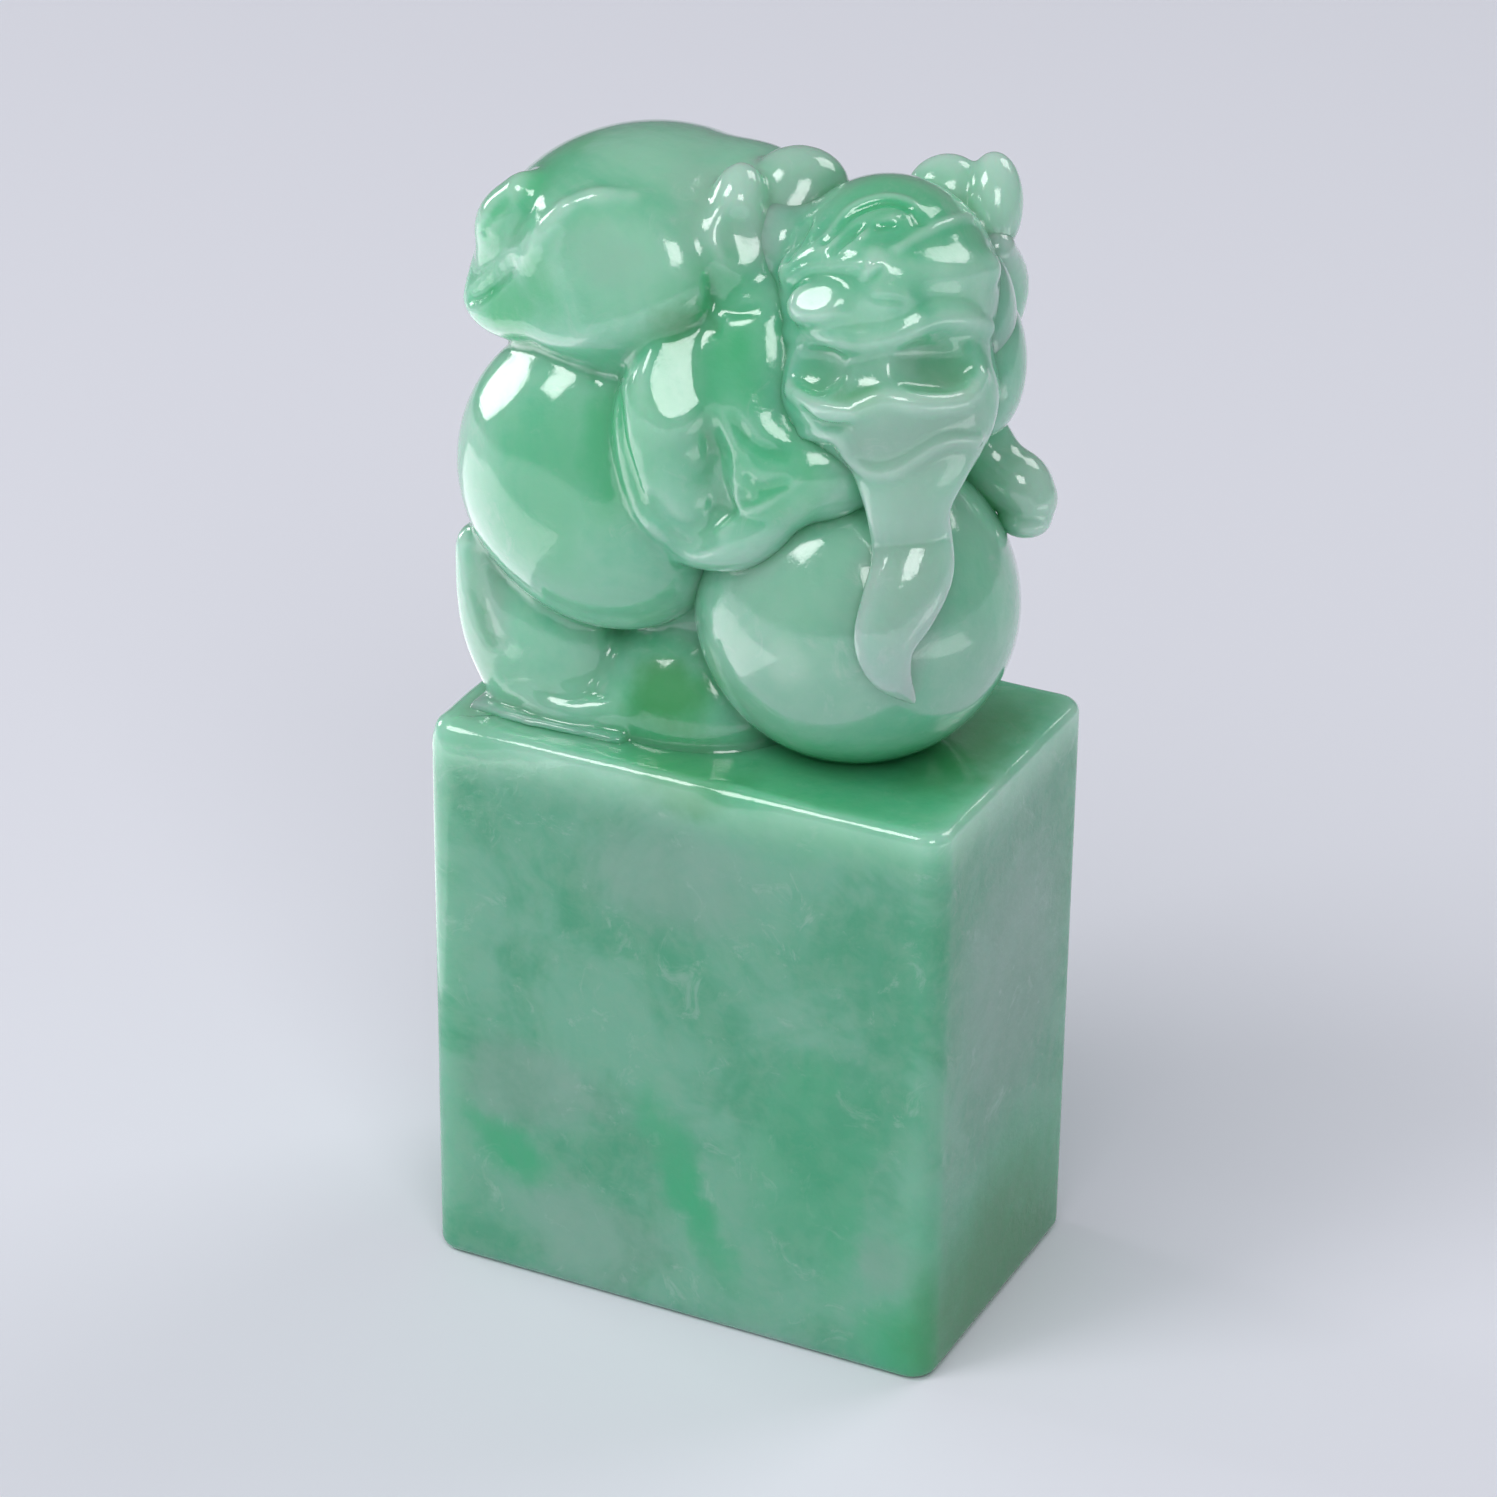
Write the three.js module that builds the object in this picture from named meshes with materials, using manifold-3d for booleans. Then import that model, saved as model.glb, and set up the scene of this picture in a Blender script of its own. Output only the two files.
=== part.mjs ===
// A jade seal stamp: a rectangular block whose knop is a crouching guardian beast hugging a ball.
// The object is one carved stone. Each mesh is one carved form, bounded by the creases that
// the carver cut between it and its neighbours. Millimetres, +Z up. The origin is the middle of the
// flat sealing face, -Y is the front that the beast's near side shows, +X is the head's end.

import * as THREE from "three";
import { mergeVertices } from "three/addons/utils/BufferGeometryUtils.js";
import Module from "manifold-3d";

const wasm = await Module();
wasm.setup();

// Block
const blockWidth = 22;
const blockDepth = 13.8;
const blockHeight = 24;
const cornerRound = 0.8;
const edgeBevel = 0.45;

// Width of the carved crease between two forms
const crease = 0.3;

// Ball, sunk a little into the block's top
const ballRadius = 6.2;
const ballSink = 0.6;
const ballInset = 0.55;
const ballForward = 0.2;

// Hindquarters: half sizes of the thigh, its height over the block's top and its lean in degrees
const haunchLength = 5.1;
const haunchWidth = 4.45;
const haunchHeight = 5.7;
const haunchRise = 10.1;
const haunchLean = 12;
const haunchOverhang = 0.25;
const haunchInset = 0.15;
const footLength = 3.4;
const footWidth = 1.7;
const footHeight = 1.55;
const footRise = 1.1;
const hockThickness = 1.2;

// Back and rump: half sizes, the whole knop's height, how far the blank cut the rump off, and
// the half width of the pocket over the foreleg
const knopHeight = 22.6;
const backLength = 6.1;
const backWidth = 5.7;
const backHeight = 4.5;
const backOverhang = 0.4;
const pocketWidth = 1.4;
const tailRadii = [1.25, 2, 1.75];

// Head: place over the ball, turn toward the front and tilt up in degrees, and half sizes
const headRise = 17;
const headOverBall = 1;
const headForward = 0.7;
const headTurn = 26;
const headTilt = 27;
const skullWidth = 4.2;
const skullHeight = 4.35;
const skullDepth = 4.5;
const jawRadii = [4.25, 3, 4.1];
const chinRadii = [2.1, 1.5, 1.7];
const eyeRadii = [1.6, 1.15, 1.35];
const noseRadii = [1, 0.8, 1.05];
const lipThickness = 0.42;
const browThickness = 0.8;
const tongueThickness = 0.52;
const furrowThickness = 0.25;
const earHeight = 2.2;
const earWidth = 1.4;
const cheekFinHeight = 2.7;
const cheekFinWidth = 1.5;
const cheekFinDepth = 2.1;
const mouthWidth = 3.9;
const mouthHeight = 1.25;
const mouthDepth = 0.9;
const throatDepth = 1.2;
const lockSpacing = 2.1;
const lockThickness = 1.15;

// Beard, collar and forelegs
const beardWidth = 1.5;
const beardThickness = 0.65;
const collarThickness = 1.25;
const tuftThickness = 0.5;
const foldThickness = 0.55;
const forelegWidth = 2.15;
const forelegDepth = 2.5;
const forelegLength = 3.9;
const forearmThickness = 1.25;
const farForelegThickness = 2.2;
const pawThickness = 1.3;

// Trunk behind the limbs: half sizes, and how far its middle lies toward the far side
const trunkWidth = 4;
const trunkHeight = 9.5;
const trunkInset = 0.8;

// Facets round a limb's section and round a rounded mass, and rings for each span of a limb
const limbSides = 8;
const massSides = 14;
const spanRings = 2;

// Places that several forms share
const deck = blockHeight;
const leftFace = -blockWidth / 2;
const rightFace = blockWidth / 2;
const frontFace = -blockDepth / 2;
const NEAR = -1;
const FAR = 1;

// A form's centre and half sizes. Other forms are placed by shares of these half sizes.
const ballForm = {
  centre: [rightFace - ballInset - ballRadius, -ballForward, deck - ballSink + ballRadius],
  half: [ballRadius, ballRadius, ballRadius],
};
const backForm = {
  centre: [leftFace + backLength - backOverhang, 0, deck + knopHeight - backHeight],
  half: [backLength, backWidth, backHeight],
};
const skullForm = { centre: [0, 0, 0], half: [skullWidth, skullHeight, skullDepth] };
const headCentre = [ballForm.centre[0] + headOverBall, -headForward, deck + headRise];
const headForm = { centre: headCentre, half: skullForm.half };

const bodyAxes = new THREE.Matrix4();
const faceAxes = headAxes();

// The head's own axes: X to the viewer's right, Y up over the brow, Z out of the nose.
function headAxes() {
  const turn = THREE.MathUtils.degToRad(headTurn);
  const tilt = THREE.MathUtils.degToRad(headTilt);
  const across = new THREE.Vector3(Math.cos(turn), Math.sin(turn), 0);
  const out = new THREE.Vector3(
    Math.sin(turn) * Math.cos(tilt),
    -Math.cos(turn) * Math.cos(tilt),
    Math.sin(tilt),
  );
  const brow = new THREE.Vector3().crossVectors(out, across);
  return new THREE.Matrix4().makeBasis(across, brow, out).setPosition(...headCentre);
}

// The thigh of the near or far hind leg. A positive share of its width points outward.
function thighForm(side) {
  const reach = blockDepth / 2 - haunchWidth - haunchInset;
  return {
    centre: [leftFace + haunchLength - haunchOverhang, side * reach, deck + haunchRise],
    half: [haunchLength, side * haunchWidth, haunchHeight],
  };
}

// A point at shares of a form's half sizes from its centre
function at(form, share) {
  return form.centre.map((middle, i) => middle + form.half[i] * share[i]);
}

function onSkull(points) {
  return points.map((share) => at(skullForm, share));
}

function onBall(points) {
  return points.map((share) => at(ballForm, share));
}

function times(shares, size) {
  return shares.map((share) => share * size);
}

function solidOf(geometry) {
  geometry.deleteAttribute("normal");
  geometry.deleteAttribute("uv");
  const merged = mergeVertices(geometry, 1e-4);
  return new wasm.Manifold(
    new wasm.Mesh({
      numProp: 3,
      vertProperties: new Float32Array(merged.attributes.position.array),
      triVerts: new Uint32Array(merged.index.array),
    }),
  );
}

function join(solids) {
  return solids.reduce((whole, next) => whole.add(next));
}

// A rounded mass: an ellipsoid, turned by angles in degrees about its own centre. fine is its
// share of the usual number of facets.
function mass(centre, radii, { grow = 0, turn = [0, 0, 0], axes = bodyAxes, fine = 1 } = {}) {
  const around = Math.round(massSides * fine);
  const geometry = new THREE.SphereGeometry(1, around, Math.round(0.62 * around));
  geometry.scale(...radii.map((radius) => Math.abs(radius) + grow));
  const [x, y, z] = turn.map(THREE.MathUtils.degToRad);
  geometry.applyMatrix4(new THREE.Matrix4().makeRotationFromEuler(new THREE.Euler(x, y, z)));
  geometry.translate(...centre);
  geometry.applyMatrix4(axes);
  return solidOf(geometry);
}

// A mass in the head's axes, placed by shares of the skull
function headMass(share, radii, options = {}) {
  return mass(at(skullForm, share), radii, { axes: faceAxes, ...options });
}

// A limb, lip or lock: a round or flattened section swept through points, with rounded ends.
// thin is the direction in which the section is flattened, and flat its share of the width there.
function strand(points, radii, options = {}) {
  const { grow = 0, thin = [0, 1, 0], flat = 1, axes = bodyAxes } = options;
  const { sides = limbSides } = options;
  const path = new THREE.CatmullRomCurve3(points.map((p) => new THREE.Vector3(...p)));
  const sizes = new THREE.SplineCurve(radii.map((r, i) => new THREE.Vector2(i, r)));
  const count = spanRings * (points.length - 1);
  const thinAxis = new THREE.Vector3(...thin);
  const rings = [];
  const addRing = (t, along, scale) => {
    const tangent = path.getTangent(t);
    const radius = sizes.getPoint(t).y;
    const side = new THREE.Vector3().crossVectors(tangent, thinAxis).normalize();
    const up = new THREE.Vector3().crossVectors(side, tangent).normalize();
    const centre = path.getPoint(t).addScaledVector(tangent, along * (radius + grow));
    const ring = [];
    for (let i = 0; i < sides; i++) {
      const angle = (2 * Math.PI * i) / sides;
      const across = Math.cos(angle) * (radius + grow) * scale;
      const through = Math.sin(angle) * (radius * flat + grow) * scale;
      ring.push(centre.clone().addScaledVector(side, across).addScaledVector(up, through));
    }
    rings.push(ring);
  };
  const endAngles = [70, 35].map(THREE.MathUtils.degToRad);
  for (const angle of endAngles) addRing(0, -Math.sin(angle), Math.cos(angle));
  for (let i = 0; i <= count; i++) addRing(i / count, 0, 1);
  for (const angle of endAngles.reverse()) addRing(1, Math.sin(angle), Math.cos(angle));
  const geometry = skin(rings, sides);
  geometry.applyMatrix4(axes);
  return solidOf(geometry);
}

// A lip, fold or groove on the face, placed by shares of the skull
function headStrand(shares, radii, options = {}) {
  return strand(onSkull(shares), radii, { axes: faceAxes, thin: [0, 0, 1], ...options });
}

// Closes a row of rings into one surface, with a point at the middle of each end ring.
function skin(rings, sides) {
  const middle = (ring) =>
    ring.reduce((sum, p) => sum.add(p), new THREE.Vector3()).divideScalar(ring.length);
  const points = [...rings.flat(), middle(rings[0]), middle(rings.at(-1))];
  const start = points.length - 2;
  const end = points.length - 1;
  const last = (rings.length - 1) * sides;
  const index = [];
  for (let i = 0; i < sides; i++) {
    const next = (i + 1) % sides;
    index.push(start, i, next, end, last + next, last + i);
    for (let ring = 0; ring < last; ring += sides) {
      index.push(ring + i, ring + sides + i, ring + next);
      index.push(ring + next, ring + sides + i, ring + sides + next);
    }
  }
  const geometry = new THREE.BufferGeometry().setFromPoints(points);
  geometry.setIndex(index);
  return geometry;
}

// A flat cut: a slab whose near face passes through a point, square to the outward direction.
function planeCut(point, outward, grow) {
  const reach = blockWidth;
  const direction = new THREE.Vector3(...outward).normalize();
  const slab = new THREE.BoxGeometry(reach, reach, reach);
  slab.translate(0, 0, reach / 2 + grow);
  const turn = new THREE.Quaternion().setFromUnitVectors(new THREE.Vector3(0, 0, 1), direction);
  slab.applyQuaternion(turn);
  slab.translate(...point);
  return solidOf(slab);
}

// The block's outline from above: a rectangle with rounded corners
function blockOutline() {
  const x = blockWidth / 2 - cornerRound;
  const y = blockDepth / 2 - cornerRound;
  const shape = new THREE.Shape();
  shape.absarc(x, y, cornerRound, 0, Math.PI / 2);
  shape.absarc(-x, y, cornerRound, Math.PI / 2, Math.PI);
  shape.absarc(-x, -y, cornerRound, Math.PI, 1.5 * Math.PI);
  shape.absarc(x, -y, cornerRound, 1.5 * Math.PI, 2 * Math.PI);
  shape.closePath();
  return shape;
}

// The blank that the knop was carved from: the block's own sides, carried up past the knop.
function blankColumn() {
  const height = blockHeight + 1.5 * knopHeight;
  const options = { depth: height, bevelEnabled: false, curveSegments: 3 };
  return solidOf(new THREE.ExtrudeGeometry(blockOutline(), options));
}

// The block, with eased edges all round and a flat sealing face at z = 0.
function sealBlock(grow) {
  const block = new THREE.ExtrudeGeometry(blockOutline(), {
    depth: blockHeight - 2 * edgeBevel,
    bevelThickness: edgeBevel + grow,
    bevelSize: edgeBevel,
    bevelOffset: -edgeBevel,
    bevelSegments: 2,
    curveSegments: 3,
  });
  block.translate(0, 0, edgeBevel);
  return solidOf(block);
}

function ball(grow) {
  return mass(ballForm.centre, ballForm.half, { grow, fine: 1.8 });
}

// The beard hangs from the chin over the ball in one S-shaped lock.
function beard(grow) {
  const lock = onBall([
    [0.6, -0.63, 1.23],
    [0.58, -0.6, 1],
    [0.6, -0.55, 0.76],
    [0.64, -0.61, 0.59],
    [0.62, -0.75, 0.42],
    [0.58, -0.85, 0.23],
    [0.61, -0.85, 0.02],
    [0.71, -0.73, -0.19],
  ]);
  const widths = times([0.75, 0.95, 1, 1, 0.93, 0.72, 0.47, 0.15], beardWidth);
  const flat = beardThickness / beardWidth;
  return strand(lock, widths, { grow, thin: [0.45, -0.88, 0.15], flat });
}

// The skull, jaw and chin, which bound the head against its neighbours
function headMasses(grow) {
  return join([
    headMass([0.06, 0.28, -0.04], skullForm.half, { grow, fine: 1.2 }),
    headMass([0.01, -0.53, 0.04], jawRadii, { grow }),
    headMass([0.26, -1.09, 0.64], chinRadii, { grow, fine: 0.7 }),
  ]);
}

// The face adds a bulging eye, nose, cheek and lips to the masses, and hollows the mouth.
function head(grow) {
  const masses = headMasses(grow);
  if (grow > 0) return masses;
  const raised = [eyeBulge(), nose(), cheekRidge()];
  return join([masses, ...raised])
    .subtract(mouthHollows())
    .add(tongue())
    .add(upperLip())
    .add(lowerLip())
    .subtract(browFurrows());
}

function eyeBulge() {
  return headMass([-0.54, 0.15, 0.54], eyeRadii, { fine: 0.7 });
}

function nose() {
  return headMass([0, 0.25, 0.84], noseRadii, { fine: 0.7 });
}

function cheekRidge() {
  const ridge = [
    [0.05, 0.23, 0.89],
    [0.38, 0.34, 0.79],
    [0.83, 0.46, 0.42],
  ];
  return headStrand(ridge, times([0.85, 1.1, 0.85], browThickness), { sides: 6 });
}

function mouthHollows() {
  return join([
    headMass([0, -0.48, 1.02], [mouthWidth, mouthHeight, mouthDepth], { fine: 0.8 }),
    headMass([-0.6, -0.45, 0.66], [0.27 * mouthWidth, 0.6 * mouthHeight, throatDepth], { fine: 0.6 }),
    headMass([0.39, -0.45, 0.74], [0.44 * mouthWidth, 0.64 * mouthHeight, throatDepth], { fine: 0.7 }),
  ]);
}

function tongue() {
  const middle = [
    [-0.18, -0.17, 0.82],
    [-0.14, -0.38, 0.8],
    [0.02, -0.6, 0.84],
    [0.15, -0.74, 0.84],
  ];
  return headStrand(middle, times([1.15, 1.05, 1, 0.8], tongueThickness), { sides: 6, flat: 2.4 });
}

function upperLip() {
  const edge = [
    [-0.9, -0.14, 0.16],
    [-0.71, -0.13, 0.49],
    [-0.33, -0.21, 0.82],
    [0.05, -0.15, 0.94],
    [0.38, -0.01, 0.9],
    [0.69, 0, 0.69],
    [0.93, -0.01, 0.33],
  ];
  return headStrand(edge, times([0.7, 0.95, 1, 1, 1, 0.95, 0.7], lipThickness), { sides: 6, flat: 1.4 });
}

function lowerLip() {
  const edge = [
    [-0.81, -0.6, 0.6],
    [-0.6, -0.76, 0.78],
    [-0.27, -0.83, 0.91],
    [0.12, -0.83, 0.92],
    [0.56, -0.75, 0.79],
    [0.81, -0.51, 0.56],
  ];
  return headStrand(edge, times([0.6, 0.85, 0.95, 0.95, 0.85, 0.6], lipThickness), { sides: 6, flat: 1.8 });
}

function browFurrows() {
  const lines = [
    [[-0.52, 0.64, 0.71], [-0.31, 0.86, 0.68], [0, 0.98, 0.64], [0.27, 0.8, 0.76]],
    [[-0.45, 0.49, 0.82], [-0.24, 0.7, 0.82], [0.04, 0.76, 0.83]],
    [[0.17, 0.44, 0.97], [0.56, 0.6, 0.77], [0.88, 0.64, 0.41]],
  ];
  const furrow = (line) => headStrand(line, line.map(() => furrowThickness), { sides: 5 });
  return join(lines.map(furrow));
}

// The near ear is a cup with a second lobe behind it, the far ear two lobes side by side.
function nearEar(grow) {
  const cupRadii = [earWidth, earHeight, 0.9 * earWidth];
  const lobeRadii = [1.4 * earWidth, 0.82 * earHeight, earWidth];
  const cup = headMass([-1.33, 0.92, -0.13], cupRadii, { grow, turn: [0, 0, -8], fine: 0.8 });
  const lobe = headMass([-0.79, 1.24, -0.44], lobeRadii, { grow, fine: 0.8 });
  const ear = cup.add(lobe);
  if (grow > 0) return ear;
  const hollowRadii = [0.5 * earWidth, 0.45 * earHeight, 0.65 * earWidth];
  return ear.subtract(headMass([-1.21, 0.76, 0.18], hollowRadii, { turn: [0, 0, 15], fine: 0.6 }));
}

function farEar(grow) {
  const innerRadii = [1.04 * earWidth, 0.78 * earHeight, 0.8 * earWidth];
  const outerRadii = [0.82 * earWidth, 0.8 * earHeight, 0.8 * earWidth];
  const inner = headMass([0.6, 1.14, -0.38], innerRadii, { grow, turn: [0, 0, 25], fine: 0.7 });
  return inner.add(headMass([0.98, 1.14, -0.33], outerRadii, { grow, fine: 0.7 }));
}

function frontCheekFin(grow) {
  const radii = [cheekFinWidth, 0.96 * cheekFinHeight, 0.95 * cheekFinDepth];
  return headMass([0.82, 0.14, -0.13], radii, { grow, fine: 0.8 });
}

function rearCheekFin(grow) {
  const radii = [cheekFinWidth, 1.04 * cheekFinHeight, 1.05 * cheekFinDepth];
  return headMass([0.92, -0.23, -0.31], radii, { grow, fine: 0.8 });
}

function neckFold(grow) {
  const line = [
    [-1.6, 0.37, 0.18],
    [-1.4, 0.24, 0.25],
    [-1.14, 0.2, 0.23],
  ];
  return headStrand(line, times([0.75, 1, 0.75], foldThickness), { grow });
}

function neckCollar(grow) {
  const line = [
    [-1.33, 0.07, 0.04],
    [-1.4, -0.34, 0.13],
    [-1.33, -0.74, 0.18],
    [-1.08, -1.01, 0.22],
    [-0.71, -1.09, 0.22],
  ];
  return headStrand(line, times([0.75, 1, 0.95, 0.7, 0.3], collarThickness), { grow });
}

function forearmTuft(grow) {
  const line = [
    [-1.19, -1.33, 0.31],
    [-1.02, -1.46, 0.33],
    [-0.71, -1.36, 0.27],
  ];
  return headStrand(line, times([0.9, 1, 0.5], tuftThickness), { grow });
}

// The near foreleg comes down from the shoulder, and its forearm lies on the ball.
function nearForeleg(grow) {
  const upper = {
    centre: at(headForm, [-1.64, -0.78, -0.82]),
    half: [forelegWidth, forelegDepth, forelegLength],
  };
  const elbowRadii = [0.88 * forelegWidth, 0.88 * forelegDepth, 0.6 * forelegLength];
  const elbow = mass(at(upper, [0.28, -0.08, -0.67]), elbowRadii, { grow, fine: 0.8 });
  return mass(upper.centre, upper.half, { grow, turn: [0, 8, 0] }).add(elbow);
}

function nearForearm(grow) {
  const line = onBall([
    [-0.95, -0.68, 0.52],
    [-0.61, -0.76, 0.58],
    [-0.35, -0.76, 0.69],
    [-0.1, -0.71, 0.97],
  ]);
  return strand(line, times([0.7, 1, 1.04, 0.64], forearmThickness), { grow });
}

function farForeleg(grow) {
  const line = onBall([
    [-0.12, 0.61, 1.35],
    [0.36, 0.68, 1.11],
    [0.67, 0.66, 0.81],
  ]);
  return strand(line, times([1, 0.77, 0.6], farForelegThickness), { grow });
}

function farForepaw(grow) {
  const line = onBall([
    [0.53, 0.66, 0.72],
    [0.73, 0.66, 0.68],
    [0.82, 0.66, 0.59],
  ]);
  const toeRadii = times([0.77, 0.77, 0.5], pawThickness);
  const toe = mass(at(ballForm, [0.83, 0.61, 0.47]), toeRadii, { grow, fine: 0.7 });
  return strand(line, times([0.92, 1, 0.88], pawThickness), { grow }).add(toe);
}

// The thigh of a hind leg, with the fullness in front of it
function haunch(side, grow) {
  const thigh = thighForm(side);
  const frontRadii = [0.9 * haunchLength, 0.88 * haunchWidth, 0.8 * haunchHeight];
  const front = mass(at(thigh, [0.3, 0.07, -0.3]), frontRadii, { grow, turn: [0, 35, 0] });
  return mass(thigh.centre, thigh.half, { grow, turn: [0, haunchLean, 0] }).add(front);
}

// The hock stands behind the thigh at the block's end, and the foot runs forward from it.
function hock(side, grow) {
  const thigh = thighForm(side);
  const shank = [
    [-0.8, 0.36, -0.68],
    [-0.75, 0.36, -0.98],
    [-0.66, 0.36, -1.3],
    [-0.5, 0.36, -1.61],
  ].map((share) => at(thigh, share));
  const calfRadii = times([2.2, 1.9, 3], hockThickness);
  const calf = mass(at(thigh, [-0.4, 0.13, -1.44]), calfRadii, { grow, turn: [0, -25, 0], fine: 0.8 });
  return strand(shank, times([0.83, 0.96, 1.04, 1], hockThickness), { grow }).add(calf);
}

function hindFoot(side, grow) {
  const [x, y] = at(thighForm(side), [-0.02, 0.45, 0]);
  const sole = { centre: [x, y, deck + footRise], half: [footLength, side * footWidth, footHeight] };
  const toeRadii = [0.32 * footLength, 0.7 * footWidth, 0.7 * footHeight];
  const toe = mass(at(sole, [0.7, 0.35, 0.16]), toeRadii, { grow, fine: 0.7 });
  return mass(sole.centre, sole.half, { grow, turn: [0, 4, 0], fine: 0.8 }).add(toe);
}

// The back rises over the rump. Its near flank is cut by two facets and a pocket over the foreleg.
function back(grow) {
  const withers = at(backForm, [0, 0.18, 0.13]);
  withers[0] = headCentre[0] - 1.63 * skullWidth;
  const withersRadii = [0.52 * backLength, 0.77 * backWidth, 0.8 * backHeight];
  const cornerRadii = [0.43 * backLength, 0.46 * backWidth, 0.53 * backHeight];
  const whole = join([
    mass(backForm.centre, backForm.half, { grow, turn: [0, -4, 0], fine: 1.2 }),
    mass(withers, withersRadii, { grow, fine: 0.8 }),
    mass(at(backForm, [-0.57, -0.58, -0.29]), cornerRadii, { grow, fine: 0.8 }),
  ]);
  const flank = planeCut(at(backForm, [-0.07, -0.96, 0.27]), [-0.25, -1, 0.28], grow);
  const corner = planeCut(at(backForm, [-0.57, -0.74, 0.09]), [-0.9, -0.75, 0.35], grow);
  const pocketLine = [
    [0.42, -0.88, -0.55],
    [0.51, -0.88, -0.13],
    [0.62, -0.88, 0.06],
    [0.77, -0.88, 0.22],
  ].map((share) => at(backForm, share));
  const pocket = strand(pocketLine, times([0.93, 0.93, 1, 0.71], pocketWidth), { grow: -grow });
  return whole.subtract(flank).subtract(corner).subtract(pocket);
}

function tailCurl(grow) {
  return mass(at(backForm, [-0.61, -0.61, 0.37]), tailRadii, { grow, turn: [0, 40, 0], fine: 0.9 });
}

// One lock of the mane behind the head on the far side: place 0 is the middle one.
function maneLock(place, grow) {
  const line = [
    [0.12, 0.94, 0.49],
    [0.05, 1.22, 0.04],
    [-0.17, 1.31, -0.49],
    [-0.48, 1.22, -1.02],
  ].map((share) => at(headForm, share));
  for (const point of line) point[0] += place * lockSpacing;
  return strand(line, times([0.7, 1, 0.91, 0.35], lockThickness), { grow });
}

// The body behind and between the limbs, with the shoulders under the head
function trunk(grow) {
  const rear = thighForm(NEAR).centre[0];
  const front = ballForm.centre[0];
  const length = (front - rear) / 2 + 0.35 * ballRadius;
  const middle = [rear + 0.4 * (front - rear), trunkInset, deck + 0.95 * trunkHeight];
  const shoulders = at(headForm, [-0.57, 0.53, -0.67]);
  const shoulderRadii = [1.1 * skullWidth, 0.87 * skullHeight, 1.2 * skullDepth];
  return mass(middle, [length, trunkWidth, trunkHeight], { grow, fine: 0.75 }).add(
    mass(shoulders, shoulderRadii, { grow, fine: 0.75 }),
  );
}

const icy = 0xa5c8b4;
const pale = 0x8fbca3;
const green = 0x68ac87;
const vivid = 0x46a372;

// The block, ball and trunk carry the other forms, which follow from front to back. Each is cut
// back from every form before it by one crease.
const forms = [
  ["seal_block", sealBlock, green],
  ["ball", ball, pale],
  ["trunk", trunk, vivid],
  ["beard", beard, icy],
  ["head", head, pale],
  ["near_ear", nearEar, icy],
  ["far_ear", farEar, icy],
  ["front_cheek_fin", frontCheekFin, pale],
  ["rear_cheek_fin", rearCheekFin, pale],
  ["forearm_tuft", forearmTuft, green],
  ["neck_fold", neckFold, green],
  ["neck_collar", neckCollar, vivid],
  ["near_forearm", nearForearm, green],
  ["near_foreleg", nearForeleg, green],
  ["far_forepaw", farForepaw, icy],
  ["far_foreleg", farForeleg, pale],
  ["near_hind_foot", (grow) => hindFoot(NEAR, grow), green],
  ["far_hind_foot", (grow) => hindFoot(FAR, grow), green],
  ["tail_curl", tailCurl, vivid],
  ["back", back, green],
  ["near_haunch", (grow) => haunch(NEAR, grow), green],
  ["far_haunch", (grow) => haunch(FAR, grow), green],
  ["near_hock", (grow) => hock(NEAR, grow), icy],
  ["far_hock", (grow) => hock(FAR, grow), icy],
  ["mane_lock_1", (grow) => maneLock(-1, grow), pale],
  ["mane_lock_2", (grow) => maneLock(0, grow), pale],
  ["mane_lock_3", (grow) => maneLock(1, grow), pale],
];

// The largest body of a solid: a crease can cut a thin edge into a loose sliver.
function largest(solid) {
  return solid.decompose().reduce((best, next) => (next.volume() > best.volume() ? next : best));
}

function meshOf(name, solid, color) {
  const made = solid.getMesh();
  const geometry = new THREE.BufferGeometry();
  geometry.setAttribute("position", new THREE.BufferAttribute(made.vertProperties, 3));
  geometry.setIndex(new THREE.BufferAttribute(made.triVerts, 1));
  geometry.computeVertexNormals();
  const stone = new THREE.MeshStandardMaterial({ color, roughness: 0.15, metalness: 0 });
  const mesh = new THREE.Mesh(geometry, stone);
  mesh.name = name;
  return mesh;
}

const seal = new THREE.Group();
seal.name = "jade_seal";
const blank = blankColumn();
let inFront = null;
for (const [name, form, color] of forms) {
  const whole = form(0).intersect(blank);
  const cut = inFront ? largest(whole.subtract(inFront)) : whole;
  seal.add(meshOf(name, cut, color));
  const room = form(crease);
  inFront = inFront ? inFront.add(room) : room;
}

export default seal;
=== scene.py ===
# %% [markdown]
# A jade seal stamp whose knop is a crouching guardian beast that hugs a ball.
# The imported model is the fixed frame: it says where every carved form is and how large it is. This
# script gives the forms their polished, softly merging surfaces and gives the stone its look.

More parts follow.
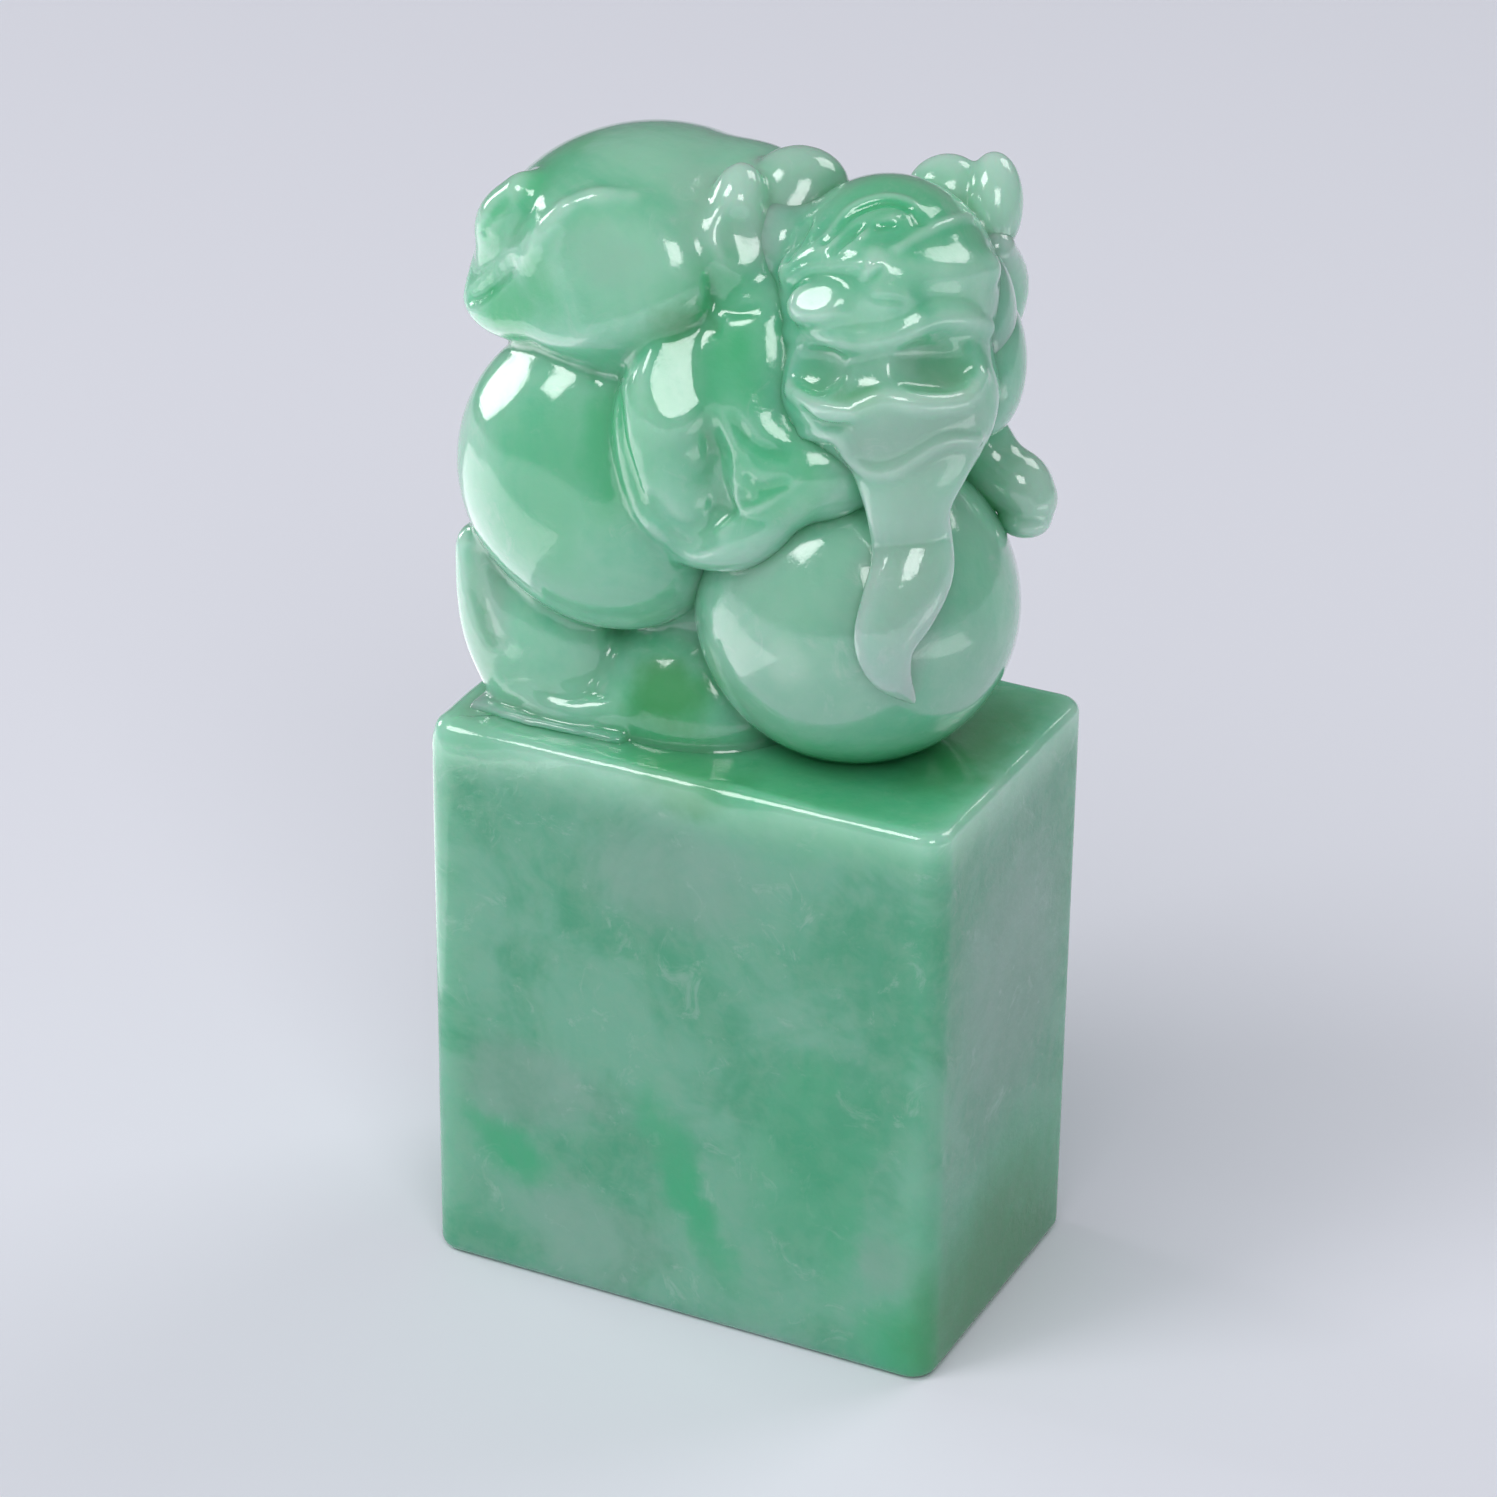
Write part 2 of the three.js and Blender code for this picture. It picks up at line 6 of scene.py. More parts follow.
# %% Load the frame
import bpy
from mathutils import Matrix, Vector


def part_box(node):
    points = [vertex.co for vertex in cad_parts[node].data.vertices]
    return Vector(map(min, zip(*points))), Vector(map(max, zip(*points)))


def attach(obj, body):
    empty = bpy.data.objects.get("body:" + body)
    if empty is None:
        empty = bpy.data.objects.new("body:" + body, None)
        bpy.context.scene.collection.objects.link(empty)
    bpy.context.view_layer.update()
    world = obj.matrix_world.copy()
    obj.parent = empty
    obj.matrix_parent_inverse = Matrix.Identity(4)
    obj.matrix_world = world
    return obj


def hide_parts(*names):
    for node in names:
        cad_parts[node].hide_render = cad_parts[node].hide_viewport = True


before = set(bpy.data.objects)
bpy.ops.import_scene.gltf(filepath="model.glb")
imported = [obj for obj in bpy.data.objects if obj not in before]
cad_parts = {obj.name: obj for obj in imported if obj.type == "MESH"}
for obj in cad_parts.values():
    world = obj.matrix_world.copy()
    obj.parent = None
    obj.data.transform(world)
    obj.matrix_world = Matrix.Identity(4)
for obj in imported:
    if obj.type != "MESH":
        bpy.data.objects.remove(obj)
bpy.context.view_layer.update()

import copy
import math

import bpy
import numpy as np
from mathutils import Matrix, Vector

MM = 0.001
BODY = "root"


def node_box(name):
    """Lowest and highest corner of a node of the frame, in millimetres."""
    low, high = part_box(name)
    return np.array(low) / MM, np.array(high) / MM


block_low, block_high = node_box("seal_block")
DECK = block_high[2]
LEFT, FRONT = block_low[:2]
RIGHT, REAR = block_high[:2]
print("block, mm:", block_low.round(2), block_high.round(2))

# %% [markdown]
# The anchors below are the carver's own: the ball sits at the right end of the block's top, the
# head looks out over it, the haunches fill the left end and the back rises above them. They are
# the driving sizes of the frame, in millimetres, measured from the block's faces.

# %% Anchors of the carving
BALL_RADIUS = 6.2
BALL = np.array([RIGHT - 0.55 - BALL_RADIUS, -0.2, DECK - 0.6 + BALL_RADIUS])
HEAD = np.array([BALL[0] + 1, -0.7, DECK + 17])
HEAD_TURN, HEAD_TILT = math.radians(26), math.radians(27)
BACK = np.array([LEFT + 5.7, 0.2, DECK + 18.1])
SHOULDER = HEAD + (-6.9, -3.4, -3.7)
NEAR, FAR = -1, 1


def haunch_centre(side):
    """The thigh's middle on the near (-1) or far (+1) side."""
    return np.array([LEFT + 4.85, side * 2.3, DECK + 10.1])


def head_axes():
    """The head's axes as columns: across the face, up over the brow, out of the nose."""
    across = np.array([math.cos(HEAD_TURN), math.sin(HEAD_TURN), 0])
    out = np.array([math.sin(HEAD_TURN) * math.cos(HEAD_TILT),
                    -math.cos(HEAD_TURN) * math.cos(HEAD_TILT), math.sin(HEAD_TILT)])
    return np.stack([across, np.cross(out, across), out], axis=1)


FACE = head_axes()
OUT = FACE[:, 2]


def on_face(x, y, z):
    """A point given in the head's own axes, in millimetres from its middle."""
    return HEAD + FACE @ np.array([x, y, z])


print("ball", BALL.round(2), "head", HEAD.round(2), "back", BACK.round(2))

# %% [markdown]
# A camera with a long lens looks down on the seal from the right of its wide face. Its angle, its
# distance and its small roll were worked out from the straight edges of the block.

# %% Camera
AZIMUTH, ELEVATION, ROLL = math.radians(25.97), math.radians(27), math.radians(0.67)
TARGET = Vector((-0.35, 0, 22.13)) * MM
DISTANCE = 194.5 * MM
SENSOR = 36
FIELD_SHARE = 5000 / 1497


def make_camera():
    """Places the camera along azimuth and elevation from the target, then rolls it."""
    back = Vector((math.sin(AZIMUTH) * math.cos(ELEVATION),
                   -math.cos(AZIMUTH) * math.cos(ELEVATION), math.sin(ELEVATION)))
    data = bpy.data.cameras.new("view_camera")
    data.sensor_width = SENSOR
    data.lens = SENSOR * FIELD_SHARE
    data.clip_start, data.clip_end = 0.005, 10
    camera = bpy.data.objects.new("view_camera", data)
    look = (-back).to_track_quat("-Z", "Y").to_matrix()
    camera.matrix_world = (Matrix.Translation(TARGET + back * DISTANCE)
                           @ (look @ Matrix.Rotation(ROLL, 3, "Z")).to_4x4())
    bpy.context.scene.collection.objects.link(camera)
    bpy.context.scene.camera = camera


make_camera()
print("camera, mm from its target:", round(DISTANCE / MM, 1))

# %% [markdown]
# The forms of a polished stone run into each other. Meshes that are only pushed together show a
# hard line where they meet, so the carving is worked in digital clay instead: a grid of numbers
# that says how far each point is from the surface, negative inside. Joining two forms takes the
# smaller number at each point, and a rounded minimum leaves the soft valley that polishing leaves.

# %% The clay
def rounded_min(a, b, soft):
    """The smaller of two distances, less (soft - |a - b|) squared / (4 soft) where they are close."""
    close = np.maximum(soft - np.abs(a - b), 0)
    return np.minimum(a, b) - close * close / (4 * soft)


def sample(field, low, step, points):
    """The field's value at points between grid points, weighted by how near each corner is."""
    place = np.clip((points - low) / step, 0, np.array(field.shape) - 1.001)
    cell = place.astype(int)
    share = place - cell
    value = 0
    for i, j, k in np.ndindex(2, 2, 2):
        weight = np.prod(np.where((i, j, k), share, 1 - share), axis=-1)
        value = value + weight * field[tuple(np.moveaxis(cell + (i, j, k), -1, 0))]
    return value


class Clay:
    """Distances to a surface, in millimetres, on a regular grid between two corners. Empty clay
    holds the distance air everywhere."""

    def __init__(self, low, high, step, air=1.2):
        self.low, self.step, self.air = np.asarray(low, float), step, air
        self.count = np.ceil((np.asarray(high) - self.low) / step).astype(int) + 1
        self.axes = [(self.low[i] + step * np.arange(self.count[i])).astype(np.float32)
                     for i in range(3)]
        self.field = np.full(self.count, air, np.float32)

    def like(self):
        """Empty clay on the same grid."""
        empty = copy.copy(self)
        empty.field = np.full(self.count, self.air, np.float32)
        return empty

    def near(self, form, margin):
        """The part of the grid round a form, as a slice, and the places of its points."""
        low = np.floor((form.low - margin - self.low) / self.step).astype(int)
        high = np.ceil((form.high + margin - self.low) / self.step).astype(int) + 1
        part = tuple(slice(a, b) for a, b in zip(np.clip(low, 0, self.count),
                                                 np.clip(high, 0, self.count)))
        axes = [axis[cut] for axis, cut in zip(self.axes, part)]
        return part, np.stack(np.meshgrid(*axes, indexing="ij"), axis=-1)

    def add(self, form, soft=0.2):
        """Joins a form on: the rounded minimum of the two distances."""
        part, places = self.near(form, soft + self.air)
        self.field[part] = rounded_min(self.field[part], form.distance(places), soft)
        return self

    def cut(self, form, soft=0.15):
        """Carves a form away: the rounded maximum of the field and minus the form's distance."""
        part, places = self.near(form, soft + self.air)
        self.field[part] = -rounded_min(-self.field[part], form.distance(places), soft)
        return self

    def grind(self, point, outward, soft=0.3):
        """Grinds a flat: takes away what lies past the plane through a point."""
        outward = np.asarray(outward, float) / np.linalg.norm(outward)
        x, y, z = (axis * way for axis, way in zip(self.axes, outward))
        past = x[:, None, None] + y[None, :, None] + z[None, None, :] - np.dot(point, outward)
        self.field = -rounded_min(-self.field, -past.astype(np.float32), soft)
        return self

    def join(self, other, soft=0.1):
        """Joins another clay on the same grid with a soft valley. The softness fades out away from
        both surfaces, so that it does not add up in empty air."""
        fade = np.clip(1 - np.maximum(self.field, other.field) / self.air, 0.02, 1)
        self.field = rounded_min(self.field, other.field, soft * fade)
        return self

    def settle(self, points, sink=0.0, way=OUT, reach=5.0, tries=600):
        """Slides points along a direction onto the clay's outer surface, then sinks them in. A
        point whose path never meets the clay stays where it is."""
        points = np.asarray(points, float)
        slide = np.linspace(reach, -reach, tries)
        values = sample(self.field, self.low, self.step, points[:, None] + slide[:, None] * way)
        met = values < 0
        first = np.where(met.any(axis=1), met.argmax(axis=1), tries // 2)
        return points + (slide[first] - sink)[:, None] * way

    def facing(self, point, reach=0.3):
        """Axes whose third column points straight out of the surface: the way the field grows."""
        shifts = reach * np.eye(3)
        ahead = sample(self.field, self.low, self.step, point + shifts)
        behind = sample(self.field, self.low, self.step, point - shifts)
        out = (ahead - behind) / np.linalg.norm(ahead - behind)
        across = FACE[:, 0] - (FACE[:, 0] @ out) * out
        across /= np.linalg.norm(across)
        return np.stack([across, np.cross(out, across), out], axis=1)


print("the head looks along", OUT.round(2))

# %% [markdown]
# Three kinds of form are enough. A mass is an ellipsoid, such as a haunch. A strand is a rounded
# limb, lip or lock that follows a curve through a few points while its width changes. A slab is a
# box with eased edges.

# %% The forms
class Form:
    """A distance function with the corners of the space that it fills."""

    def __init__(self, low, high, distance):
        self.low, self.high, self.distance = low, high, distance


def turned(x=0, y=0, z=0):
    """A rotation by angles in degrees about X, then Y, then Z, as columns."""
    return np.array(Matrix.Rotation(math.radians(z), 3, "Z")
                    @ Matrix.Rotation(math.radians(y), 3, "Y")
                    @ Matrix.Rotation(math.radians(x), 3, "X"))


def mass(centre, radii, axes=np.eye(3)):
    """An ellipsoid: with k = |p / r| and m = |p / r squared|, its distance is k (k - 1) / m."""
    centre, radii = np.asarray(centre, np.float32), np.asarray(radii, np.float32)
    axes = axes.astype(np.float32)
    reach = np.sqrt(((axes * radii) ** 2).sum(axis=1))

    def distance(places):
        local = (places - centre) @ axes
        k = np.sqrt(((local / radii) ** 2).sum(axis=-1))
        m = np.sqrt(((local / radii**2) ** 2).sum(axis=-1))
        return k * (k - 1) / np.maximum(m, 1e-6)

    return Form(centre - reach, centre + reach, distance)


def face_mass(place, radii, turn=0):
    """A mass in the head's own axes, turned in degrees about the axis out of the face."""
    return mass(on_face(*place), radii, FACE @ turned(z=turn))


def smooth_line(rows, steps=6):
    """A Catmull-Rom curve through the rows: a cubic between each pair, smooth across them."""
    rows = np.asarray(rows, float)
    padded = np.vstack([2 * rows[0] - rows[1], rows, 2 * rows[-1] - rows[-2]])
    t = np.linspace(0, 1, steps, endpoint=False)[:, None]
    spans = [0.5 * (2 * b + (c - a) * t + (2 * a - 5 * b + 4 * c - d) * t**2
                    + (3 * b - a - 3 * c + d) * t**3)
             for a, b, c, d in zip(padded, padded[1:], padded[2:], padded[3:])]
    return np.vstack([*spans, rows[-1:]])


def strand(points, radii, thin=None, flat=1.0):
    """The distance to a curve, less its radius there. Space is stretched by 1 / flat along thin,
    which flattens the section to that share."""
    radii = np.broadcast_to(np.asarray(radii, float), (len(points),))
    line = smooth_line(np.column_stack([points, radii]))
    centre, radius = line[:, :3], np.maximum(line[:, 3], 0.02).astype(np.float32)
    stretch = np.eye(3)
    if thin is not None:
        thin = np.asarray(thin, float) / np.linalg.norm(thin)
        stretch += (1 / flat - 1) * np.outer(thin, thin)
    stretch = stretch.astype(np.float32)
    knots = centre.astype(np.float32) @ stretch

    def distance(places):
        places = places @ stretch
        best = np.full(places.shape[:-1], 1e3, np.float32)
        for a, b, wide, narrow in zip(knots, knots[1:], radius, radius[1:]):
            way = b - a
            share = np.clip((places - a) @ way / (way @ way), 0, 1)
            gap = np.sqrt(((places - a - share[..., None] * way) ** 2).sum(axis=-1))
            best = np.minimum(best, gap - wide - (narrow - wide) * share)
        return best * math.sqrt(flat)

    low, high = (centre - radius[:, None]).min(axis=0), (centre + radius[:, None]).max(axis=0)
    return Form(low, high, distance)


def face_strand(points, radii, **options):
    """A strand through points in the head's own axes."""
    return strand([on_face(*point) for point in points], radii, **options)


def slab(low, high, ease):
    """A box with rounded edges: the distance to a smaller box, less the rounding."""
    low, high = np.asarray(low, np.float32), np.asarray(high, np.float32)
    middle, half = (low + high) / 2, (high - low) / 2 - ease

    def distance(places):
        past = np.abs(places - middle) - half
        outside = np.sqrt((np.maximum(past, 0) ** 2).sum(axis=-1))
        return outside + np.minimum(past.max(axis=-1), 0) - ease

    return Form(low, high, distance)


def keep_in_blank(clay, ease=0.35):
    """The knop was carved from the block's own blank, so nothing passes the block's sides."""
    clay.grind((LEFT, 0, 0), (-1, 0, 0), ease)
    clay.grind((RIGHT, 0, 0), (1, 0, 0), ease)
    clay.grind((0, FRONT, 0), (0, -1, 0), ease)
    return clay.grind((0, REAR, 0), (0, 1, 0), ease)


print("blank of the knop, mm:", RIGHT - LEFT, "by", REAR - FRONT)

# %% [markdown]
# The clay becomes a mesh by the surface nets method. Each grid cell that the surface passes
# through gets one vertex, at the mean of the places where the surface crosses the cell's edges, and
# each grid edge that crosses the surface gets one quad between the four cells round it.

# %% From clay to mesh
CORNERS = np.array(list(np.ndindex(2, 2, 2)))
EDGES = [(a, b) for a in range(8) for b in range(a, 8) if abs(CORNERS[a] - CORNERS[b]).sum() == 1]


def net(clay):
    """Vertices, in millimetres, and quads of the surface where the clay's distance is zero."""
    field = clay.field
    inside = field < 0
    size = np.array(field.shape) - 1
    filled = sum(inside[i:i + size[0], j:j + size[1], k:k + size[2]].astype(np.int8)
                 for i, j, k in CORNERS)
    cells = np.argwhere((filled > 0) & (filled < 8))
    values = np.stack([field[tuple((cells + corner).T)] for corner in CORNERS], axis=1)
    total, hits = np.zeros((len(cells), 3)), np.zeros((len(cells), 1))
    for a, b in EDGES:
        first, second = values[:, a], values[:, b]
        crossed = (first < 0) != (second < 0)
        share = np.where(crossed, first / np.where(crossed, first - second, 1), 0)[:, None]
        total += crossed[:, None] * (CORNERS[a] + share * (CORNERS[b] - CORNERS[a]))
        hits += crossed[:, None]
    vertices = clay.low + clay.step * (cells + total / hits)
    number = np.full(size, -1, np.int32)
    number[tuple(cells.T)] = np.arange(len(cells))
    quads = [net_quads(inside, number, axis) for axis in range(3)]
    return vertices, np.vstack(quads)


def net_quads(inside, number, axis):
    """The quads across the grid edges that run along one axis, facing out of the clay."""
    first, second = np.delete(np.arange(3), axis)
    start = np.argwhere(np.diff(inside.astype(np.int8), axis=axis) != 0)
    start = start[(start[:, first] > 0) & (start[:, second] > 0)]
    ring = []
    for back_first, back_second in ((1, 1), (0, 1), (0, 0), (1, 0)):
        cell = start.copy()
        cell[:, first] -= back_first
        cell[:, second] -= back_second
        ring.append(number[tuple(cell.T)])
    quads = np.stack(ring, axis=1)
    flip = inside[tuple(start.T)] == (axis == 1)
    quads[flip] = quads[flip, ::-1]
    return quads


print("corners and edges of a grid cell:", len(CORNERS), len(EDGES))

# %% [markdown]
# Every piece of the seal is one mesh object that stands for a few solids of the frame. Its points
# are worked out in millimetres, in the frame's own axes, so the object itself stays at the origin.
# A surface net has faint steps from its grid, and a Smooth modifier evens them out.

# %% Pieces of the scene
made_pieces = []


def piece(name, vertices, faces, replaced, relax=3):
    """Makes a mesh piece from millimetres, evens it out a little and puts it in the frame. Each
    round of the evening moves a point half of the way to the mean of its neighbours."""
    mesh = bpy.data.meshes.new(name)
    mesh.from_pydata((vertices * MM).tolist(), [], faces)
    mesh.polygons.foreach_set("use_smooth", np.ones(len(mesh.polygons), bool))
    mesh.update()
    made = bpy.data.objects.new(name, mesh)
    bpy.context.scene.collection.objects.link(made)
    if relax:
        evened = made.modifiers.new("evened", "SMOOTH")
        evened.factor, evened.iterations = 0.5, relax
    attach(made, BODY)
    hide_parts(*replaced)
    made_pieces.append(made)
    low, high = vertices.min(axis=0), vertices.max(axis=0)
    print(f"{name}: {len(faces)} faces, {low.round(1)} to {high.round(1)} mm")
    return made


def clay_piece(name, clay, replaced, relax=8):
    """Notes where the clay is solid, then makes a piece of its surface."""
    note_solid(clay)
    vertices, quads = net(clay)
    return piece(name, vertices, quads.tolist(), replaced, relax)


print("solids of the frame:", len(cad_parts))

# %% [markdown]
# Light goes deep into jade. A thin ear or a raised edge looks pale, and a valley between two forms
# looks a deeper green, because the light there has come through more stone. To paint that, a coarse
# grid over the whole seal notes which places are solid, and is then blurred. On a flat face the
# blurred value is a half, in a valley it is more and on an edge less.

# %% The map of solid stone
MAP_STEP = 0.25
MAP_LOW = np.array([LEFT - 2, FRONT - 2, -2.0])
MAP_COUNT = np.ceil((np.array([RIGHT + 2, REAR + 2, DECK + 25]) - MAP_LOW) / MAP_STEP).astype(int)
solid_map = np.zeros(MAP_COUNT, np.float32)
map_axes = [MAP_LOW[i] + MAP_STEP * np.arange(MAP_COUNT[i]) for i in range(3)]
map_places = np.stack(np.meshgrid(*map_axes, indexing="ij"), axis=-1).astype(np.float32)


def note_solid(clay):
    """Samples the clay at the map's places: a share of one inside, which fades out over one cell."""
    low = np.ceil((clay.low - MAP_LOW) / MAP_STEP).astype(int)
    high = np.floor((clay.low + clay.step * (clay.count - 1) - MAP_LOW) / MAP_STEP).astype(int) + 1
    part = tuple(slice(a, b) for a, b in zip(np.clip(low, 0, MAP_COUNT),
                                             np.clip(high, 0, MAP_COUNT)))
    gap = sample(clay.field, clay.low, clay.step, map_places[part])
    solid_map[part] = np.maximum(solid_map[part], np.clip(0.5 - gap / MAP_STEP, 0, 1))


def blurred(values, radius):
    """Three running means along each axis, which together are close to a bell curve."""
    width = max(int(round(radius / MAP_STEP)), 1)
    for axis in (0, 1, 2) * 3:
        margins = [(width + 1, width) if i == axis else (0, 0) for i in range(3)]
        padded = np.pad(values, margins, "edge")
        total = np.cumsum(padded, axis=axis, dtype=np.float64)
        ahead = np.take(total, range(2 * width + 1, total.shape[axis]), axis=axis)
        behind = np.take(total, range(0, total.shape[axis] - 2 * width - 1), axis=axis)
        values = ((ahead - behind) / (2 * width + 1)).astype(np.float32)
    return values


print("map of the stone:", MAP_COUNT, "places,", MAP_STEP, "mm apart")

# %% [markdown]
# The block is a worn rectangular prism: an outline with round corners, carried up a profile that
# rounds in at the foot and at the shoulder. A Bevel modifier on a box would give the same edge all
# round, but this one was ground by hand: near the top the outline wanders by about a tenth of a
# millimetre, and two shallow chips are worn into it in front.

# %% Block
CORNER_ROUND, EDGE_BEVEL, FOOT_BEVEL = 1.1, 0.42, 0.5
# Amount in millimetres, number of waves round the block, and where the first one starts.
EDGE_WAVES = ((0.035, 7, 0.6), (0.03, 19, 1.9))
# Depth, middle along the front edge and reach, in millimetres.
CHIPS = ((0.3, 2.4, 1.6), (0.45, -9.4, 1.7))
WORN_HEIGHT = 1.0


def outline(arc_points=14, run_points=70):
    """Four quarter circles joined by straight runs, anticlockwise: places and outward directions."""
    core = np.array([(RIGHT - LEFT) / 2, (REAR - FRONT) / 2]) - CORNER_ROUND
    corners = core * [(1, 1), (-1, 1), (-1, -1), (1, -1)]
    places, ways = [], []
    for quarter, (corner, following) in enumerate(zip(corners, np.roll(corners, -1, axis=0))):
        angle = np.linspace(0, np.pi / 2, arc_points) + quarter * np.pi / 2
        way = np.stack([np.cos(angle), np.sin(angle)], axis=1)
        share = np.linspace(0, 1, run_points + 2)[1:-1, None]
        run = corner + share * (following - corner)
        places += [corner + CORNER_ROUND * way, run + CORNER_ROUND * way[-1]]
        ways += [way, np.broadcast_to(way[-1], (run_points, 2))]
    return np.vstack(places), np.vstack(ways)


def block_surface(side_rows=60):
    """Rings of the outline, each drawn in by an inset and set at a height, closed at both ends."""
    outer, way = outline()
    points = len(outer)
    quarter = np.linspace(0, np.pi / 2, 9)
    foot = [(FOOT_BEVEL * (1 - math.sin(a)), FOOT_BEVEL * (1 - math.cos(a))) for a in quarter]
    shoulder = [(EDGE_BEVEL * (1 - math.cos(a)), DECK - EDGE_BEVEL * (1 - math.sin(a)))
                for a in quarter]
    sides = [(0, z) for z in np.linspace(FOOT_BEVEL, DECK - EDGE_BEVEL, side_rows)[1:-1]]
    profile = np.array(foot + sides + shoulder)
    inset, height = profile.T
    wander = edge_wander(outer, height)
    rings = outer - (inset[:, None] + wander)[..., None] * way
    wall = np.dstack([rings, np.broadcast_to(height[:, None], wander.shape)])
    shrink = np.linspace(1, 0, 40)[1:-1, None, None]
    flat = np.ones((len(shrink), points))
    top = np.dstack([shrink * wall[-1, :, :2], DECK * flat])
    top[..., 2] += deck_waves(top)
    base = np.dstack([shrink[::-1] * wall[0, :, :2], 0 * flat])
    rows = np.concatenate([base, wall, top])
    vertices = np.vstack([rows.reshape(-1, 3), [0, 0, 0], [0, 0, DECK]])
    return vertices, closed_rings(len(rows), points)


def closed_rings(rows, points):
    """Quads between rings that go anticlockwise and follow each other, from the first ring to the
    last, then triangles from a point below the first ring and from one above the last ring."""
    start = np.arange(rows - 1)[:, None] * points
    i = np.arange(points)
    after_i = (i + 1) % points
    here, after = start + i, start + after_i
    quads = np.stack([here, after, after + points, here + points], axis=-1).reshape(-1, 4)
    below, last_ring = rows * points, (rows - 1) * points
    tip = np.full(points, below)
    foot_fan = np.stack([tip, after_i, i], axis=1)
    top_fan = np.stack([tip + 1, last_ring + i, last_ring + after_i], axis=1)
    return quads.tolist() + foot_fan.tolist() + top_fan.tolist()


def edge_wander(outer, height):
    """How far the hand-ground upper edge draws in. Sines of the angle round the block give slow
    waves, a bell curve of x gives each chip of the front edge, and both fade out downwards."""
    x, y = outer.T
    angle = np.arctan2(y, x)
    drawn = sum(amount * (1 + np.sin(count * angle + start)) for amount, count, start in EDGE_WAVES)
    for chip_depth, middle, reach in CHIPS:
        drawn = drawn + chip_depth * np.exp(-(((x - middle) / reach) ** 2)) * (y < 0)
    fade = np.clip((height - DECK) / WORN_HEIGHT + 1, 0, 1) ** 1.5
    return fade[:, None] * drawn


def deck_waves(places):
    """The worked top is not quite flat: a bell curve of x and y dips it by 0.03 mm near the middle
    of its front edge."""
    x, y = places[..., 0], places[..., 1]
    dip = 0.03 * np.exp(-((x - 1) / 4) ** 2 - ((y + 5) / 2) ** 2)
    return -dip * np.clip(y - FRONT, 0, 1)


piece("stone_block", *block_surface(), ["seal_block"], relax=0)

# %% [markdown]
# The ball is the one regular form: half a circle carried round an upright axis. It was polished by
# hand, so its radius wanders by a hundredth of a millimetre or two, and reflections bend a little
# on it. It sits a little way in the block's top, because both are the same stone.

# %% Ball
HAND_POLISH = 0.002


def ball_surface(turns=288, rows=144):
    """Rings from the south pole up: radius R sin a and height -R cos a, closed at both poles. R
    gains 0.2% of sin a squared times slow waves round the axis."""
    a = np.linspace(0, np.pi, rows + 1)[1:-1, None]
    u = np.linspace(0, 2 * np.pi, turns, endpoint=False)
    rings = np.stack([np.sin(a) * np.cos(u), np.sin(a) * np.sin(u), -np.cos(a) + 0 * u], axis=-1)
    waves = np.sin(3 * u + 1.2) * np.sin(2 * a) + 0.6 * np.sin(7 * u + 4 * a)
    rings = rings * (1 + HAND_POLISH * np.sin(a) ** 2 * waves)[..., None]
    poles = [BALL - (0, 0, BALL_RADIUS), BALL + (0, 0, BALL_RADIUS)]
    vertices = np.vstack([BALL + BALL_RADIUS * rings.reshape(-1, 3), poles])
    return vertices, closed_rings(len(a), turns)


piece("jade_ball", *ball_surface(), ["ball"], relax=0)

# %% [markdown]
# The map of solid stone has to know these two forms too. Their insides are simple sums: nearer to
# the ball's middle than its radius, or nearer to the block's middle than half its size.

# %% Solid map of the plain forms
in_ball = ((map_places - BALL) ** 2).sum(axis=-1) < BALL_RADIUS**2
in_block = ((np.abs(map_places - (0, 0, DECK / 2)) - (RIGHT, REAR, DECK / 2)) < 0).all(axis=-1)
solid_map[in_ball | in_block] = 1
print("solid places of the ball and the block:", int(solid_map.sum()))

# %% [markdown]
# The body is carved in one lump of clay, so that its forms flow into each other. It starts with the
# hind legs. The thigh is the largest smooth form of the seal: a full egg with a second mass low in
# front of it, and one flat where the carver's wheel rested. The shank drops behind it to a long
# foot. The far leg is the near one mirrored, but only the near foot gets a wavy line for its toes.

# %% Hind legs
BODY_STEP = 0.15
TOE_WAVE = [(-7.0, -4.3, 24.9), (-6.3, -4.3, 24.9), (-5.7, -4.3, 24.95), (-4.9, -4.3, 25.4),
            (-3.8, -4.3, 25.5)]


def hind_leg(clay, side):
    """Joins a hind leg on: the ground slope, then shank, hock and foot, then the thigh."""
    hip = haunch_centre(side)
    clay.join(clay.like().add(mass((-2.2, 1.2 * side, DECK), (4.4, 3.5, 4.3))), 0.8)
    clay.join(shank_and_foot(clay, hip, side), 0.7)
    clay.join(thigh(clay, hip, side), 0.3)


def thigh(clay, hip, side):
    """Two masses joined very softly, with one flat that faces up and out."""
    form = clay.like()
    form.add(mass(hip, (5.1, 4.45, 5.7), turned(y=12)))
    form.add(mass(hip + (1.55, 0.3 * side, -1.7), (4.6, 3.9, 4.6), turned(y=35)), 1.2)
    flat = np.array([-0.48, 0.62 * side, 0.62])
    return form.grind(hip + 4.85 * flat, flat, 0.2)


